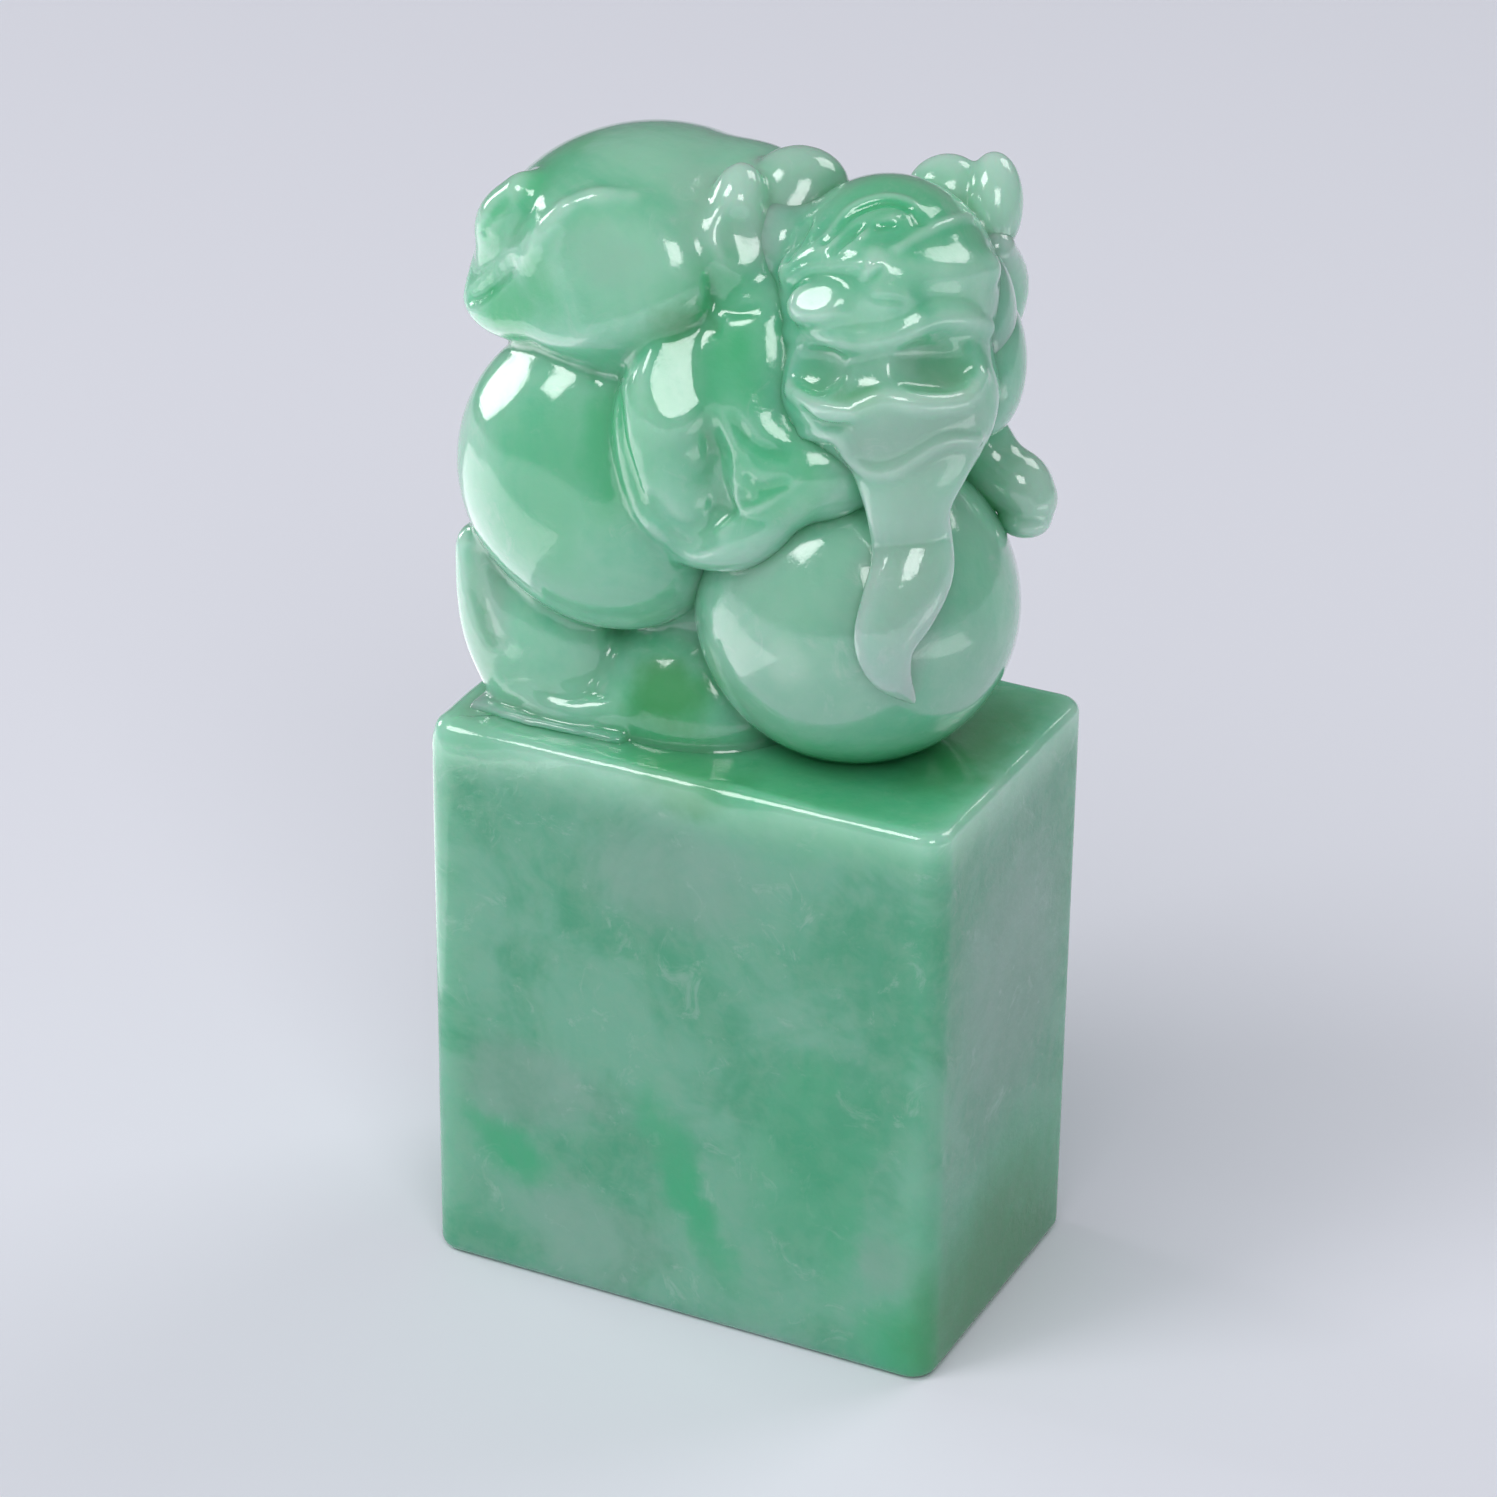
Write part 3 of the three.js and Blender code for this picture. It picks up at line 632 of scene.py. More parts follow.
def shank_and_foot(clay, hip, side):
    """A strand down the block's left end, a mass for the hock and two masses for the foot."""
    drop = ((-4.1, -3.9), (-3.85, -5.6), (-3.35, -7.4), (-2.55, -9.2))
    shank = [hip + (x, 1.35 * side, z) for x, z in drop]
    form = clay.like().add(strand(shank, (0.95, 1.1, 1.2, 1.15)))
    form.add(mass(hip + (-1.7, 0.45 * side, -7.4), (3, 2.1, 3.9), turned(y=-28)), 0.6)
    heel = np.array([hip[0] + 0.1, hip[1] + 1.05 * side, DECK + 0.5])
    form.add(mass(heel, (3.3, 1.7, 1.25), turned(y=3)), 0.6)
    form.add(mass(heel + (2.2, 0.2 * side, 0.3), (1.1, 1.1, 0.8)), 0.6)
    if side == NEAR:
        form.cut(strand(form.settle(TOE_WAVE), 0.14), 0.25)
    return form


print("thigh middle, mm:", haunch_centre(NEAR).round(2), "clay step", BODY_STEP)

# %% [markdown]
# The raised back is a dome at the upper left. Its near side was ground to flats that meet in soft
# lines, a short slit is cut at its left end, and two low ridges run over its near side. Grinding
# the clay with planes leaves such flats just as a wheel does.

# %% Raised back
BACK_RIDGES = ([(-11.7, 4.3), (-10.5, 4.6), (-9.2, 4.6)], [(-13, 2.5), (-12.3, 3.5), (-11.6, 4.2)])


def face_line(clay, points, sink=0.0, height=2):
    """Points given across and up the face, slid along its outward axis onto the clay."""
    return clay.settle([on_face(x, y, height) for x, y in points], sink)


def back_clay(clay):
    """Three masses, three flats given by a point and a direction, a slit and two ridges."""
    back = clay.like()
    back.add(mass(BACK + (0.35, 0, 0), (5.85, 6.5, 4.5), turned(y=-4)))
    back.add(mass(BACK + (3.7, 1.4, 0.4), (3, 4.2, 3.6)), 0.8)
    back.add(mass(BACK + (-3.4, -2.6, -1.2), (2.5, 2.6, 2.2)), 0.8)
    back.grind(BACK + (-1.6, -5.1, 0.8), (-0.3, -0.95, 0.1), 0.15)
    back.grind(BACK + (1.6, -5.55, 0.6), (0.12, -1, 0.35), 0.6)
    back.grind(BACK + (-2.4, -4.4, 1.9), (-0.62, -0.62, 0.42), 0.15)
    slit = back.settle([(x, -5, z) for x, z in ((-8.0, 42.6), (-8.9, 41.7), (-9.8, 41.0))])
    back.cut(strand(slit, 0.2), 0.4)
    for points in BACK_RIDGES:
        ridge = face_line(back, points, 0.05, height=1)
        back.add(strand(ridge, (0.15, 0.32, 0.15)), 0.5)
    return back


def tail_curl(clay):
    """A short thick strand at the left end of the back, with a fine arc cut into it."""
    curl = [BACK + (-3.0, -3.2, 2.4), BACK + (-3.85, -3.2, 1.35), BACK + (-4.4, -3.0, 0.2)]
    clay.join(clay.like().add(strand(curl, (1.0, 1.15, 0.8))), 0.6)
    arc = clay.settle([(-8.7, -4, 44.6), (-9.2, -4, 43.9), (-9.5, -4, 43.2)],
                      way=np.array([-0.3, -0.9, 0.3]))
    clay.cut(strand(arc, 0.12), 0.25)


print("ridges of the back:", len(BACK_RIDGES))

# %% [markdown]
# The near arm comes down from the shoulder and turns in over the ball. A broad flat on the upper
# arm takes the large highlight. Three fine grooves part the arm from the hair under the jaw and
# mark the folds of the forearm.

# %% Near arm
ARM_FLAT = np.array([0.45, -0.71, 0.54])
ARM_GROOVES = (([(-4.17, 39.22), (-3.13, 38.3), (-2.89, 36.55), (-1.93, 33.8)], 0.16),
               ([(-1.7, 34.5), (-0.75, 33.75), (0.4, 33.8), (1.5, 34.85)], 0.18),
               ([(-1.7, 34.0), (-0.35, 33.05), (0.8, 33.5)], 0.15))


def near_arm(clay):
    """Two masses with a flat for the upper arm, and a strand for the forearm."""
    arm = clay.like().add(mass(SHOULDER, (2.15, 2.5, 3.9), turned(y=8)))
    arm.add(mass(SHOULDER + (0.6, -0.2, -2.6), (1.9, 2.2, 2.3)), 1)
    arm.grind(SHOULDER + 2.5 * ARM_FLAT, ARM_FLAT, 0.2)
    clay.join(arm, 0.35)
    forearm = [BALL + (-5.9, -4.2, 3.2), BALL + (-3.8, -4.6, 3.6), BALL + (-2.15, -4.6, 4.2),
               BALL + (-0.4, -4.3, 5.9)]
    clay.join(clay.like().add(strand(forearm, (0.9, 1.2, 1.15, 0.6))), 0.45)


def arm_grooves(clay):
    """Lines given by x and z, slid onto the clay a little above its surface and cut as strands."""
    for points, width in ARM_GROOVES:
        line = clay.settle([(x, -5.6, z) for x, z in points], sink=-0.05)
        clay.cut(strand(line, width), 0.35)


print("flat of the upper arm faces", ARM_FLAT)

# %% [markdown]
# The near ear is a soft cup that leans on the neck, with a rounder lobe behind it. A broad collar
# runs from it round under the jaw. Nearly all of it is given in the head's own axes, so it would
# turn with the head.

# %% Ear and collar
COLLAR = [(-5.5, 1.6, -0.7), (-5.4, 0.2, -0.4), (-5.5, -1.4, -0.25), (-5.1, -2.95, -0.1),
          (-4.1, -4.1, 0), (-2.8, -4.7, 0.1)]
COLLAR_GROOVES = ([(-5.2, -3.8), (-4.6, -4.4), (-3.6, -4.7)], [(-5.5, -3.3), (-5.0, -4.1)],
                  [(-6.35, 1.7), (-6.05, 0.9), (-5.5, 0.5), (-4.7, 0.55)],
                  [(-6.3, 1.3), (-6.1, -0.2)])


def ear_and_collar(clay):
    """Joins neck, lobe, ear and collar in turn, hollows the ear and cuts the folds."""
    neck = clay.like().add(face_mass((-4.3, -1.0, -0.8), (2.25, 4.5, 2.2)))
    neck.add(face_mass((-2.7, -5.0, -0.7), (3, 2.1, 2.0)), 1)
    neck.add(mass(BALL + (-3.1, -2.4, 5.2), (2.3, 2.2, 2.3)), 1)
    clay.join(neck, 0.8)
    lobe = clay.like().add(face_mass((-3.1, 5.2, -1.0), (1.9, 1.65, 1.5)))
    lobe.add(face_mass((-3.9, 3.4, -0.8), (1.9, 1.8, 1.5)), 0.8)
    clay.join(lobe, 0.7)
    ear = clay.like().add(face_mass((-5.4, 4.3, 0.4), (1.1, 1.75, 1.1), -10))
    ear.add(face_mass((-5.4, 2.7, -0.1), (1.8, 1.7, 1.4)), 0.8)
    rim = [(-6, 3.1, 0.3), (-6.9, 2.8, 0), (-7.8, 2.5, -0.4)]
    ear.add(face_strand(rim, (1.0, 0.75, 0.5)), 0.8)
    clay.join(ear, 0.4)
    clay.join(clay.like().add(face_strand(COLLAR, (0.8, 1.1, 1.3, 1.3, 1.05, 0.6))), 0.5)
    hollow = face_line(clay, [(-5.2, 3.1)], height=1.5)[0]
    clay.cut(mass(hollow, (0.7, 1.0, 0.35), FACE @ turned(z=20)), 0.5)
    for points in COLLAR_GROOVES:
        clay.cut(strand(face_line(clay, points, height=1.5), 0.13), 0.3)
    tuft = [(-5.35, -5.55), (-5.1, -6.45), (-4.4, -6.6), (-2.95, -5.6)]
    clay.add(strand(face_line(clay, tuft, 0.02, height=1.5), (0.1, 0.22, 0.22, 0.08)), 0.15)
    under_tuft = [(-4.9, -5.6), (-4.5, -5.95), (-3.6, -5.75)]
    clay.cut(strand(face_line(clay, under_tuft, height=1.5), 0.12), 0.3)


print("folds cut beside the ear and the jaw:", len(COLLAR_GROOVES))

# %% [markdown]
# All of it comes together on one grid. The order counts: a soft join fills the valley between what
# is there and what is added, and a groove has to be cut after the forms that it runs over. The
# clay reaches a little way down into the block, where it is ground off flat.

# %% Body in one piece
BODY_NODES = ["trunk", "back", "tail_curl", "near_haunch", "near_hock", "near_hind_foot",
              "far_haunch", "far_hock", "far_hind_foot", "near_foreleg", "near_forearm",
              "neck_collar", "neck_fold", "forearm_tuft", "near_ear"]


def body_clay():
    """The trunk is two masses. Legs, back, tail, arm, ear and ground are joined to it in turn."""
    clay = Clay((LEFT - 0.8, FRONT - 0.8, DECK - 1.4), (10.6, REAR + 0.8, DECK + 23.4), BODY_STEP)
    clay.add(mass((-2, 0.8, DECK + 9), (7.4, 4, 9.5)))
    clay.add(mass(HEAD + (-2.4, 2.3, -3), (4.6, 3.8, 5.4)), 0.4)
    for side in (FAR, NEAR):
        hind_leg(clay, side)
    clay.join(back_clay(clay), 0.45)
    clay.add(mass(BACK + (2.3, -2.2, -3.4), (3.0, 2.3, 2.3)), 1.4)
    tail_curl(clay)
    near_arm(clay)
    ear_and_collar(clay)
    arm_grooves(clay)
    ground(clay)
    return keep_in_blank(clay)


def ground(clay):
    """The stone left under the beast: a broad slab that fades into the block's top, a low step in
    front of the foot with a raised lip, and a groove behind the shank."""
    broad = slab((LEFT + 0.75, FRONT + 1.1, DECK - 1), (7, REAR - 1.3, DECK - 0.45), 0.1)
    clay.join(clay.like().add(broad), 1.4)
    clay.add(slab((-9.9, -5.2, DECK - 0.6), (-3.2, 3, DECK + 0.25), 0.1), 0.1)
    lip = [(-9.5, -4.8, DECK + 0.16), (-8.3, -5.3, DECK + 0.16), (-6.5, -5.4, DECK + 0.16),
           (-3.4, -5.2, DECK + 0.12)]
    clay.add(strand(lip, (0.12, 0.2, 0.2, 0.1)), 0.1)
    crease = clay.settle([(-10.0, -4, 30.2), (-9.5, -4, 28.4), (-8.8, -4, 26.9)],
                         way=np.array([-0.2, -0.95, 0.2]))
    clay.cut(strand(crease, (0.15, 0.18, 0.1)), 0.5)
    clay.grind((0, 0, DECK - 0.8), (0, 0, -1), 0.05)


clay_piece("beast_body", body_clay(), BODY_NODES)

# %% [markdown]
# The head looks up and out over the ball. It gets a grid of its own, with steps about half as long
# as the body's, because its lines are the finest of the seal. The skull and the jaw are two masses.
# The chin is a flattened strand, and a second one is the beard, which lies on the ball in an S.

# %% Skull, chin and beard
HEAD_STEP = 0.08
BEARD_THIN = (0.45, -0.88, 0.15)


def skull_and_beard(clay):
    """Two masses and a third at the temple, and two strands flattened along BEARD_THIN."""
    clay.add(face_mass((0.2, 1.3, -0.2), (4.2, 4.45, 4.5)))
    clay.add(face_mass((0.25, -2.2, 0.2), (4.1, 2.9, 4.0)), 1.0)
    chin = [on_face(1.2, -3.6, 1.2), on_face(1.05, -4.8, 1.6), on_face(0.95, -5.9, 1.4)]
    clay.add(strand(chin, (2.6, 2.1, 1.3), thin=BEARD_THIN, flat=0.5), 0.9)
    beard = [on_face(1.0, -5.3, 1.55), BALL + (3.6, -3.7, 6.2), BALL + (3.75, -3.5, 4.7),
             BALL + (3.95, -3.9, 3.65), BALL + (3.85, -4.7, 2.6), BALL + (3.6, -5.35, 1.4),
             BALL + (3.8, -5.3, 0.15), BALL + (4.4, -4.55, -1.2)]
    wide = (1.55, 1.5, 1.5, 1.54, 1.43, 1.15, 0.8, 0.2)
    clay.add(strand(beard, wide, thin=BEARD_THIN, flat=0.42), 0.5)
    clay.add(face_mass((-4.1, 3.2, -0.6), (1.8, 1.8, 1.7)), 1.0)


print("clay step of the head, mm:", HEAD_STEP)

# %% [markdown]
# The eye bulges, and one small flat on it catches the light. The nose is a low bump, and two soft
# brow ridges part the eyes from the forehead.

# %% Eye, nose and brow
EYE = (-2.05, 0.55, 3.0)
EYE_FLAT = np.array([-0.02, -0.73, 0.68])


def eye_nose_and_brow(clay):
    """A mass ground flat for the eye, a mass for the nose and two strands for the brow."""
    eye = clay.like().add(face_mass(EYE, (1.5, 1.0, 1.15)))
    eye.grind(on_face(*EYE) + 0.98 * EYE_FLAT, EYE_FLAT, 0.1)
    clay.join(eye, 0.5)
    clay.add(face_mass((0.1, 1.05, 3.7), (1, 0.8, 0.8)), 0.8)
    clay.add(strand(face_line(clay, [(-3.3, 1.9), (-1.9, 2.4), (-0.6, 2.1)], 0.35), 0.5), 0.6)
    clay.add(strand(face_line(clay, [(-0.2, 1.9), (1.95, 1.75), (3.7, 2.1)], 0.3), 0.5), 0.6)


print("the eye's middle, mm:", on_face(*EYE).round(2))

# %% [markdown]
# The mouth is broad but shallow: first a trough from cheek to cheek, then two deeper pockets that
# lie along the surface, with a wavy lip laid over them and one below. The pockets take their
# direction from the clay itself, or they would cut in under the lip and leave a knife edge.

# %% Mouth
POCKETS = ((-2.4, -1.75, 1.25, 0.85), (1.6, -1.7, 1.75, 0.85))
POCKET_SPREAD, POCKET_DEPTH, POCKET_LIFT = 1.15, 0.62, 0.35
UPPER_LIP = [(-3.6, -0.25), (-2.1, -0.45), (-0.97, -0.75), (0.32, -0.5), (1.62, 0.1),
             (2.74, 0.2), (3.72, -0.05)]
LOWER_LIP = [(-3.3, -2.4), (-2.4, -3.1), (-1.2, -3.25), (0, -2.8), (1.2, -2.95), (2.8, -2.75),
             (3.5, -1.9)]


def mouth(clay):
    """A strand cut for the trough, two masses cut for the pockets and two strands for the lips."""
    clay.cut(strand(face_line(clay, [(-2.9, -1.7), (0, -1.8), (3.0, -1.6)], -0.95), 1.15), 0.8)
    for x, y, wide, high in POCKETS:
        place = face_line(clay, [(x, y)])[0]
        axes = clay.facing(place)
        radii = (wide * POCKET_SPREAD, high * POCKET_SPREAD, POCKET_DEPTH)
        clay.cut(mass(place + POCKET_LIFT * axes[:, 2], radii, axes), 0.2)
    upper = face_line(clay, UPPER_LIP, 0.2)
    clay.add(strand(upper, (0.25, 0.4, 0.42, 0.42, 0.42, 0.4, 0.3)), 0.35)
    lower = face_line(clay, LOWER_LIP, 0.16)
    clay.add(strand(lower, (0.2, 0.27, 0.28, 0.27, 0.28, 0.27, 0.2)), 0.4)


print("pockets of the mouth:", len(POCKETS))

# %% [markdown]
# A carver draws the brow, the eyelid and the corners of the mouth with fine furrows, and the stone
# left standing between them makes ridges. Each row gives a line across and up the face and the
# strand's radius. The furrows are cut first and the ridges are laid on after.

# %% Furrows and ridges of the face
FURROWS = (([(-2.2, 2.9), (-1.3, 3.85), (0, 4.35), (0.9, 4.1), (1.2, 3.6)], 0.15),
           ([(-1.9, 2.5), (-1, 3.2), (0.15, 3.45)], 0.13),
           ([(-3.5, 2.4), (-2.8, 3.6)], 0.13),
           ([(-0.3, 1.7), (-0.7, 1.3), (-0.3, 0.8), (0.6, 0.75)], 0.09),
           ([(-2.9, -3.2), (-2.2, -3.7), (-1.3, -3.8)], 0.1))
RIDGES = (([(-2.05, 3.05), (-1.2, 4.1), (0, 4.5), (0.9, 4.3), (1.1, 3.9)], 0.12),
          ([(-0.85, 2.95), (-0.4, 3.4), (0.25, 3.65)], 0.14),
          ([(0.35, 2.45), (1.2, 3.0), (2.2, 3.6), (3.0, 3.9)], 0.22),
          ([(-0.55, 1.9), (-0.7, 1.35), (-0.35, 0.95), (0.65, 0.85)], 0.13),
          ([(-3.45, 1.55), (-2.6, 1.95), (-1.0, 1.95)], 0.1),
          ([(-3.15, -2.55), (-2.5, -3.0), (-1.15, -3.3)], 0.1))
CHIN_WAVE = [(-2.9, -3.9), (-1.7, -4.1), (-1.1, -4.8), (-0.3, -5.35), (0.6, -5.2), (2.1, -4.25),
             (3.4, -4.1)]


def furrows_and_ridges(clay):
    """Strands on the face, cut or added one by one, and the wave where the beard begins."""
    for points, width in FURROWS:
        clay.cut(strand(face_line(clay, points), width), 0.3)
    for points, width in RIDGES:
        clay.add(strand(face_line(clay, points, width * 0.3), width), 0.25)
    wave = face_line(clay, CHIN_WAVE, 0.12)
    clay.add(strand(wave, (0.15, 0.24, 0.24, 0.24, 0.24, 0.24, 0.15)), 0.4)


print("furrows", len(FURROWS), "ridges", len(RIDGES))

# %% [markdown]
# The far ear is two lobes at the head's top right. It joins the head with only a little softness,
# because a clear crease parts them on the stone.

# %% Head in one piece
def head_clay():
    """Skull and beard, then the face, then the far ear."""
    clay = Clay(HEAD - (6.4, 6.6, 14), HEAD + (6.4, 6.9, 6.6), HEAD_STEP)
    skull_and_beard(clay)
    eye_nose_and_brow(clay)
    mouth(clay)
    furrows_and_ridges(clay)
    far_ear = clay.like().add(face_mass((2.3, 5.3, -1.7), (1.5, 1.35, 1.0), 25))
    clay.join(far_ear.add(face_mass((4.1, 4.85, -1.5), (1.1, 1.9, 1.05)), 0.25), 0.2)
    return keep_in_blank(clay)


clay_piece("beast_head", head_clay(), ["head", "far_ear", "beard"])

# %% [markdown]
# The two fins behind the cheek, the far arm and the three locks of the mane stand clear enough to
# be pieces of their own. Each gets a small grid just round it, so it can be fine at little cost.

# %% Cheek fins
DETAIL_STEP = 0.08
DETAIL_MARGIN = 1.0


def clay_round(*forms, soft=0.2):
    """Clay just large enough for the forms, which are joined in turn."""
    low = np.min([form.low for form in forms], axis=0) - DETAIL_MARGIN
    high = np.max([form.high for form in forms], axis=0) + DETAIL_MARGIN
    clay = Clay(low, high, DETAIL_STEP)
    for form in forms:
        clay.add(form, soft)
    return keep_in_blank(clay)


front_fin = clay_round(face_mass((3.45, 0.6, -0.6), (1.5, 2.6, 2)))
clay_piece("front_fin", front_fin, ["front_cheek_fin"])
rear_fin = clay_round(face_mass((3.85, -1, -1.4), (1.55, 2.8, 2.2)))
clay_piece("rear_fin", rear_fin, ["rear_cheek_fin"])

# %% [markdown]
# The far arm comes round behind the ball, and only its paw is seen beside the head. It is a strand
# from the shoulder to the wrist, a second one that bends down for the paw, and a mass for the toes.

# %% Far arm
far_arm = clay_round(
    strand([BALL + (-0.75, 3.8, 8.2), BALL + (2.25, 4.2, 6.2), BALL + (4.1, 4.1, 4.4)],
           (2.2, 1.4, 1.1)),
    strand([BALL + (3.3, 4.1, 4.45), BALL + (4.55, 4.1, 4.2), BALL + (5.1, 4.1, 3.65)],
           (1.2, 1.3, 1.15)),
    mass(BALL + (5.15, 3.8, 2.9), (1, 1, 0.65)), soft=0.25)
clay_piece("far_arm", far_arm, ["far_foreleg", "far_forepaw"])

# %% [markdown]
# Three locks of the mane fall behind the head, side by side. One strand, moved along the block for
# each, is enough.

# %% Mane
LOCK_SPACING = 2.1
for number in (1, 2, 3):
    x = LOCK_SPACING * (number - 2) - 0.3
    lock = strand([HEAD + (x + 0.8, 4.1, 2.2), HEAD + (x + 0.5, 5.3, 0.2),
                   HEAD + (x - 0.4, 5.7, -2.2), HEAD + (x - 1.7, 5.3, -4.6)],
                  (0.8, 1.15, 1.05, 0.4))
    clay_piece(f"mane_{number}", clay_round(lock), [f"mane_lock_{number}"])

# %% [markdown]
# Now that the whole seal is in the map of solid stone, each piece can be told how deep it lies. The
# map is blurred twice, widely for the depth and narrowly for the edges, and every vertex keeps both
# values as attributes that the material reads.

# %% Depth of stone on every piece
DEEP_BLUR, EDGE_BLUR = 0.9, 0.35
deep_map, edge_map = blurred(solid_map, DEEP_BLUR), blurred(solid_map, EDGE_BLUR)
for made in made_pieces:
    places = np.empty(len(made.data.vertices) * 3)
    made.data.vertices.foreach_get("co", places)
    places = places.reshape(-1, 3) / MM
    for name, values in (("deep", deep_map), ("edge", edge_map)):
        layer = made.data.attributes.new(name, "FLOAT", "POINT")
        shares = sample(values, MAP_LOW, MAP_STEP, places).astype(np.float32)
        layer.data.foreach_set("value", shares)
    print(f"{made.name}: depth of stone up to {shares.max():.2f}")

# %% [markdown]
# A material is a tree of nodes. Its maths is easier to read as arithmetic, so a small class wraps a
# socket and turns each operator into the node that works it out, and a second class holds the
# material and adds every other node.

# %% Shader arithmetic
class Value:
    """A socket whose value varies over the stone. Python's operators add Math nodes to it."""

    def __init__(self, paint, socket):
        self.paint, self.socket = paint, socket

    def math(self, operation, *others):
        """One Math node on this value and the others."""
        return self.paint.node("ShaderNodeMath", {"operation": operation}, self, *others)

    def __add__(self, other):
        return self.math("ADD", other)

    def __mul__(self, other):
        return self.math("MULTIPLY", other)

    def __sub__(self, other):
        return self.math("SUBTRACT", other)

    def __rsub__(self, other):
        return self.paint.node("ShaderNodeMath", {"operation": "SUBTRACT"}, other, self)

    __radd__, __rmul__ = __add__, __mul__


class Paint:
    """Adds nodes to one material."""

    def __init__(self, name):
        self.material = bpy.data.materials.new(name)
        self.material.use_nodes = True
        self.tree = self.material.node_tree
        self.shader = self.tree.nodes["Principled BSDF"]

    def node(self, kind, settings, *values, output=0, **named):
        """A node of a kind: settings first, then values or links by place or by name."""
        made = self.tree.nodes.new(kind)
        for key, value in settings.items():
            setattr(made, key, value)
        for key, value in [*enumerate(values), *named.items()]:
            if value is not None:
                self.feed(made.inputs[key.replace("_", " ") if isinstance(key, str) else key], value)
        return Value(self, made.outputs[output])

    def feed(self, socket, value):
        """Links a Value to a socket, or sets a plain number, vector or colour on it."""
        if isinstance(value, Value):
            self.tree.links.new(value.socket, socket)
        else:
            socket.default_value = value

    def mix(self, share, first, second):
        """A colour between two colours. A Mix node's colours are its seventh and eighth sockets."""
        unused = [None] * 5
        return self.node("ShaderNodeMix", {"data_type": "RGBA"}, share, *unused, first, second,
                         output=2)

    def ramp(self, value, low, high):
        """0 below low, 1 above high and a smooth step between them."""
        return self.node("ShaderNodeMapRange", {"interpolation_type": "SMOOTHSTEP"},
                         value, low, high, 0.0, 1.0)


def colour(red, green, blue):
    """A colour that is written as it shows on a screen, 0 to 255, as linear light."""
    shares = np.array([red, green, blue]) / 255
    linear = np.where(shares <= 0.04045, shares / 12.92, ((shares + 0.055) / 1.055) ** 2.4)
    return (*linear.tolist(), 1.0)


print("a middle grey of 188 as linear light:", round(colour(188, 188, 188)[0], 2))

# %% [markdown]
# Jade is a felt of fine crystals, and its colours lie in it as torn clouds, not as a regular
# pattern. Everything is measured in millimetres from the seal's own origin, so the pattern runs
# unbroken from one piece to the next. Places are pushed about by noise before a cloud is drawn,
# which tears its outline, a broad drift first and small rags after.

# %% Places and noise in the stone
jade = Paint("jade")
# Bumps per millimetre, and how far they push a place, in millimetres.
DRIFT, RAGS = (0.22, 3.5), (1.1, 1.1)
coordinates = jade.node("ShaderNodeTexCoord", {}, output="Object")
place = jade.node("ShaderNodeVectorMath", {"operation": "SCALE"}, coordinates, Scale=1 / MM)


def noise(scale, detail=3.0, roughness=0.55, distortion=0.0, output="Fac"):
    """Noise at so many bumps per millimetre, with finer bumps added on top for each detail."""
    return jade.node("ShaderNodeTexNoise", {}, Vector=place, Scale=scale, Detail=detail,
                     Roughness=roughness, Distortion=distortion, output=output)


def offset(vector, by, amount):
    """Moves a place by noise less a half, times the amount in millimetres."""
    centred = jade.node("ShaderNodeVectorMath", {"operation": "SUBTRACT"}, by, (0.5, 0.5, 0.5))
    moved = jade.node("ShaderNodeVectorMath", {"operation": "SCALE"}, centred, Scale=amount)
    return jade.node("ShaderNodeVectorMath", {"operation": "ADD"}, vector, moved)


torn = place
for scale, amount in (DRIFT, RAGS):
    torn = offset(torn, noise(scale, output="Color"), amount)
print("nodes for the torn places:", len(jade.tree.nodes))

# %% [markdown]
# A cloud is an ellipsoid that fades out: a Mapping node moves its middle to zero and its radii to
# one, and a smooth step of the distance does the rest. Four kinds of cloud are laid where the stone
# shows them, but some vivid and moss clouds are painted light: a deeper green in recesses and
# valleys, where light has come through more stone, and painted shade low on the block's right end.
# Each row gives the strength, the middle and the radii in millimetres and, where it has one, the
# turn in degrees.

# %% Clouds
def cloud(centre, radii, turn=(0, 0, 0), core=0.3):
    """A torn cloud in the stone: one inside, falling smoothly to nothing at its radii."""
    local = jade.node("ShaderNodeMapping", {"vector_type": "TEXTURE"}, torn, centre,
                      tuple(math.radians(a) for a in turn), radii)
    length = jade.node("ShaderNodeVectorMath", {"operation": "LENGTH"}, local, output="Value")
    return 1 - jade.ramp(length, core, 1.0)


def clouds(rows):
    """Several clouds together: at each place the strongest one counts."""
    total = None
    for strength, *row in rows:
        one = cloud(*row) * strength
        total = one if total is None else total.math("MAXIMUM", one)
    return total


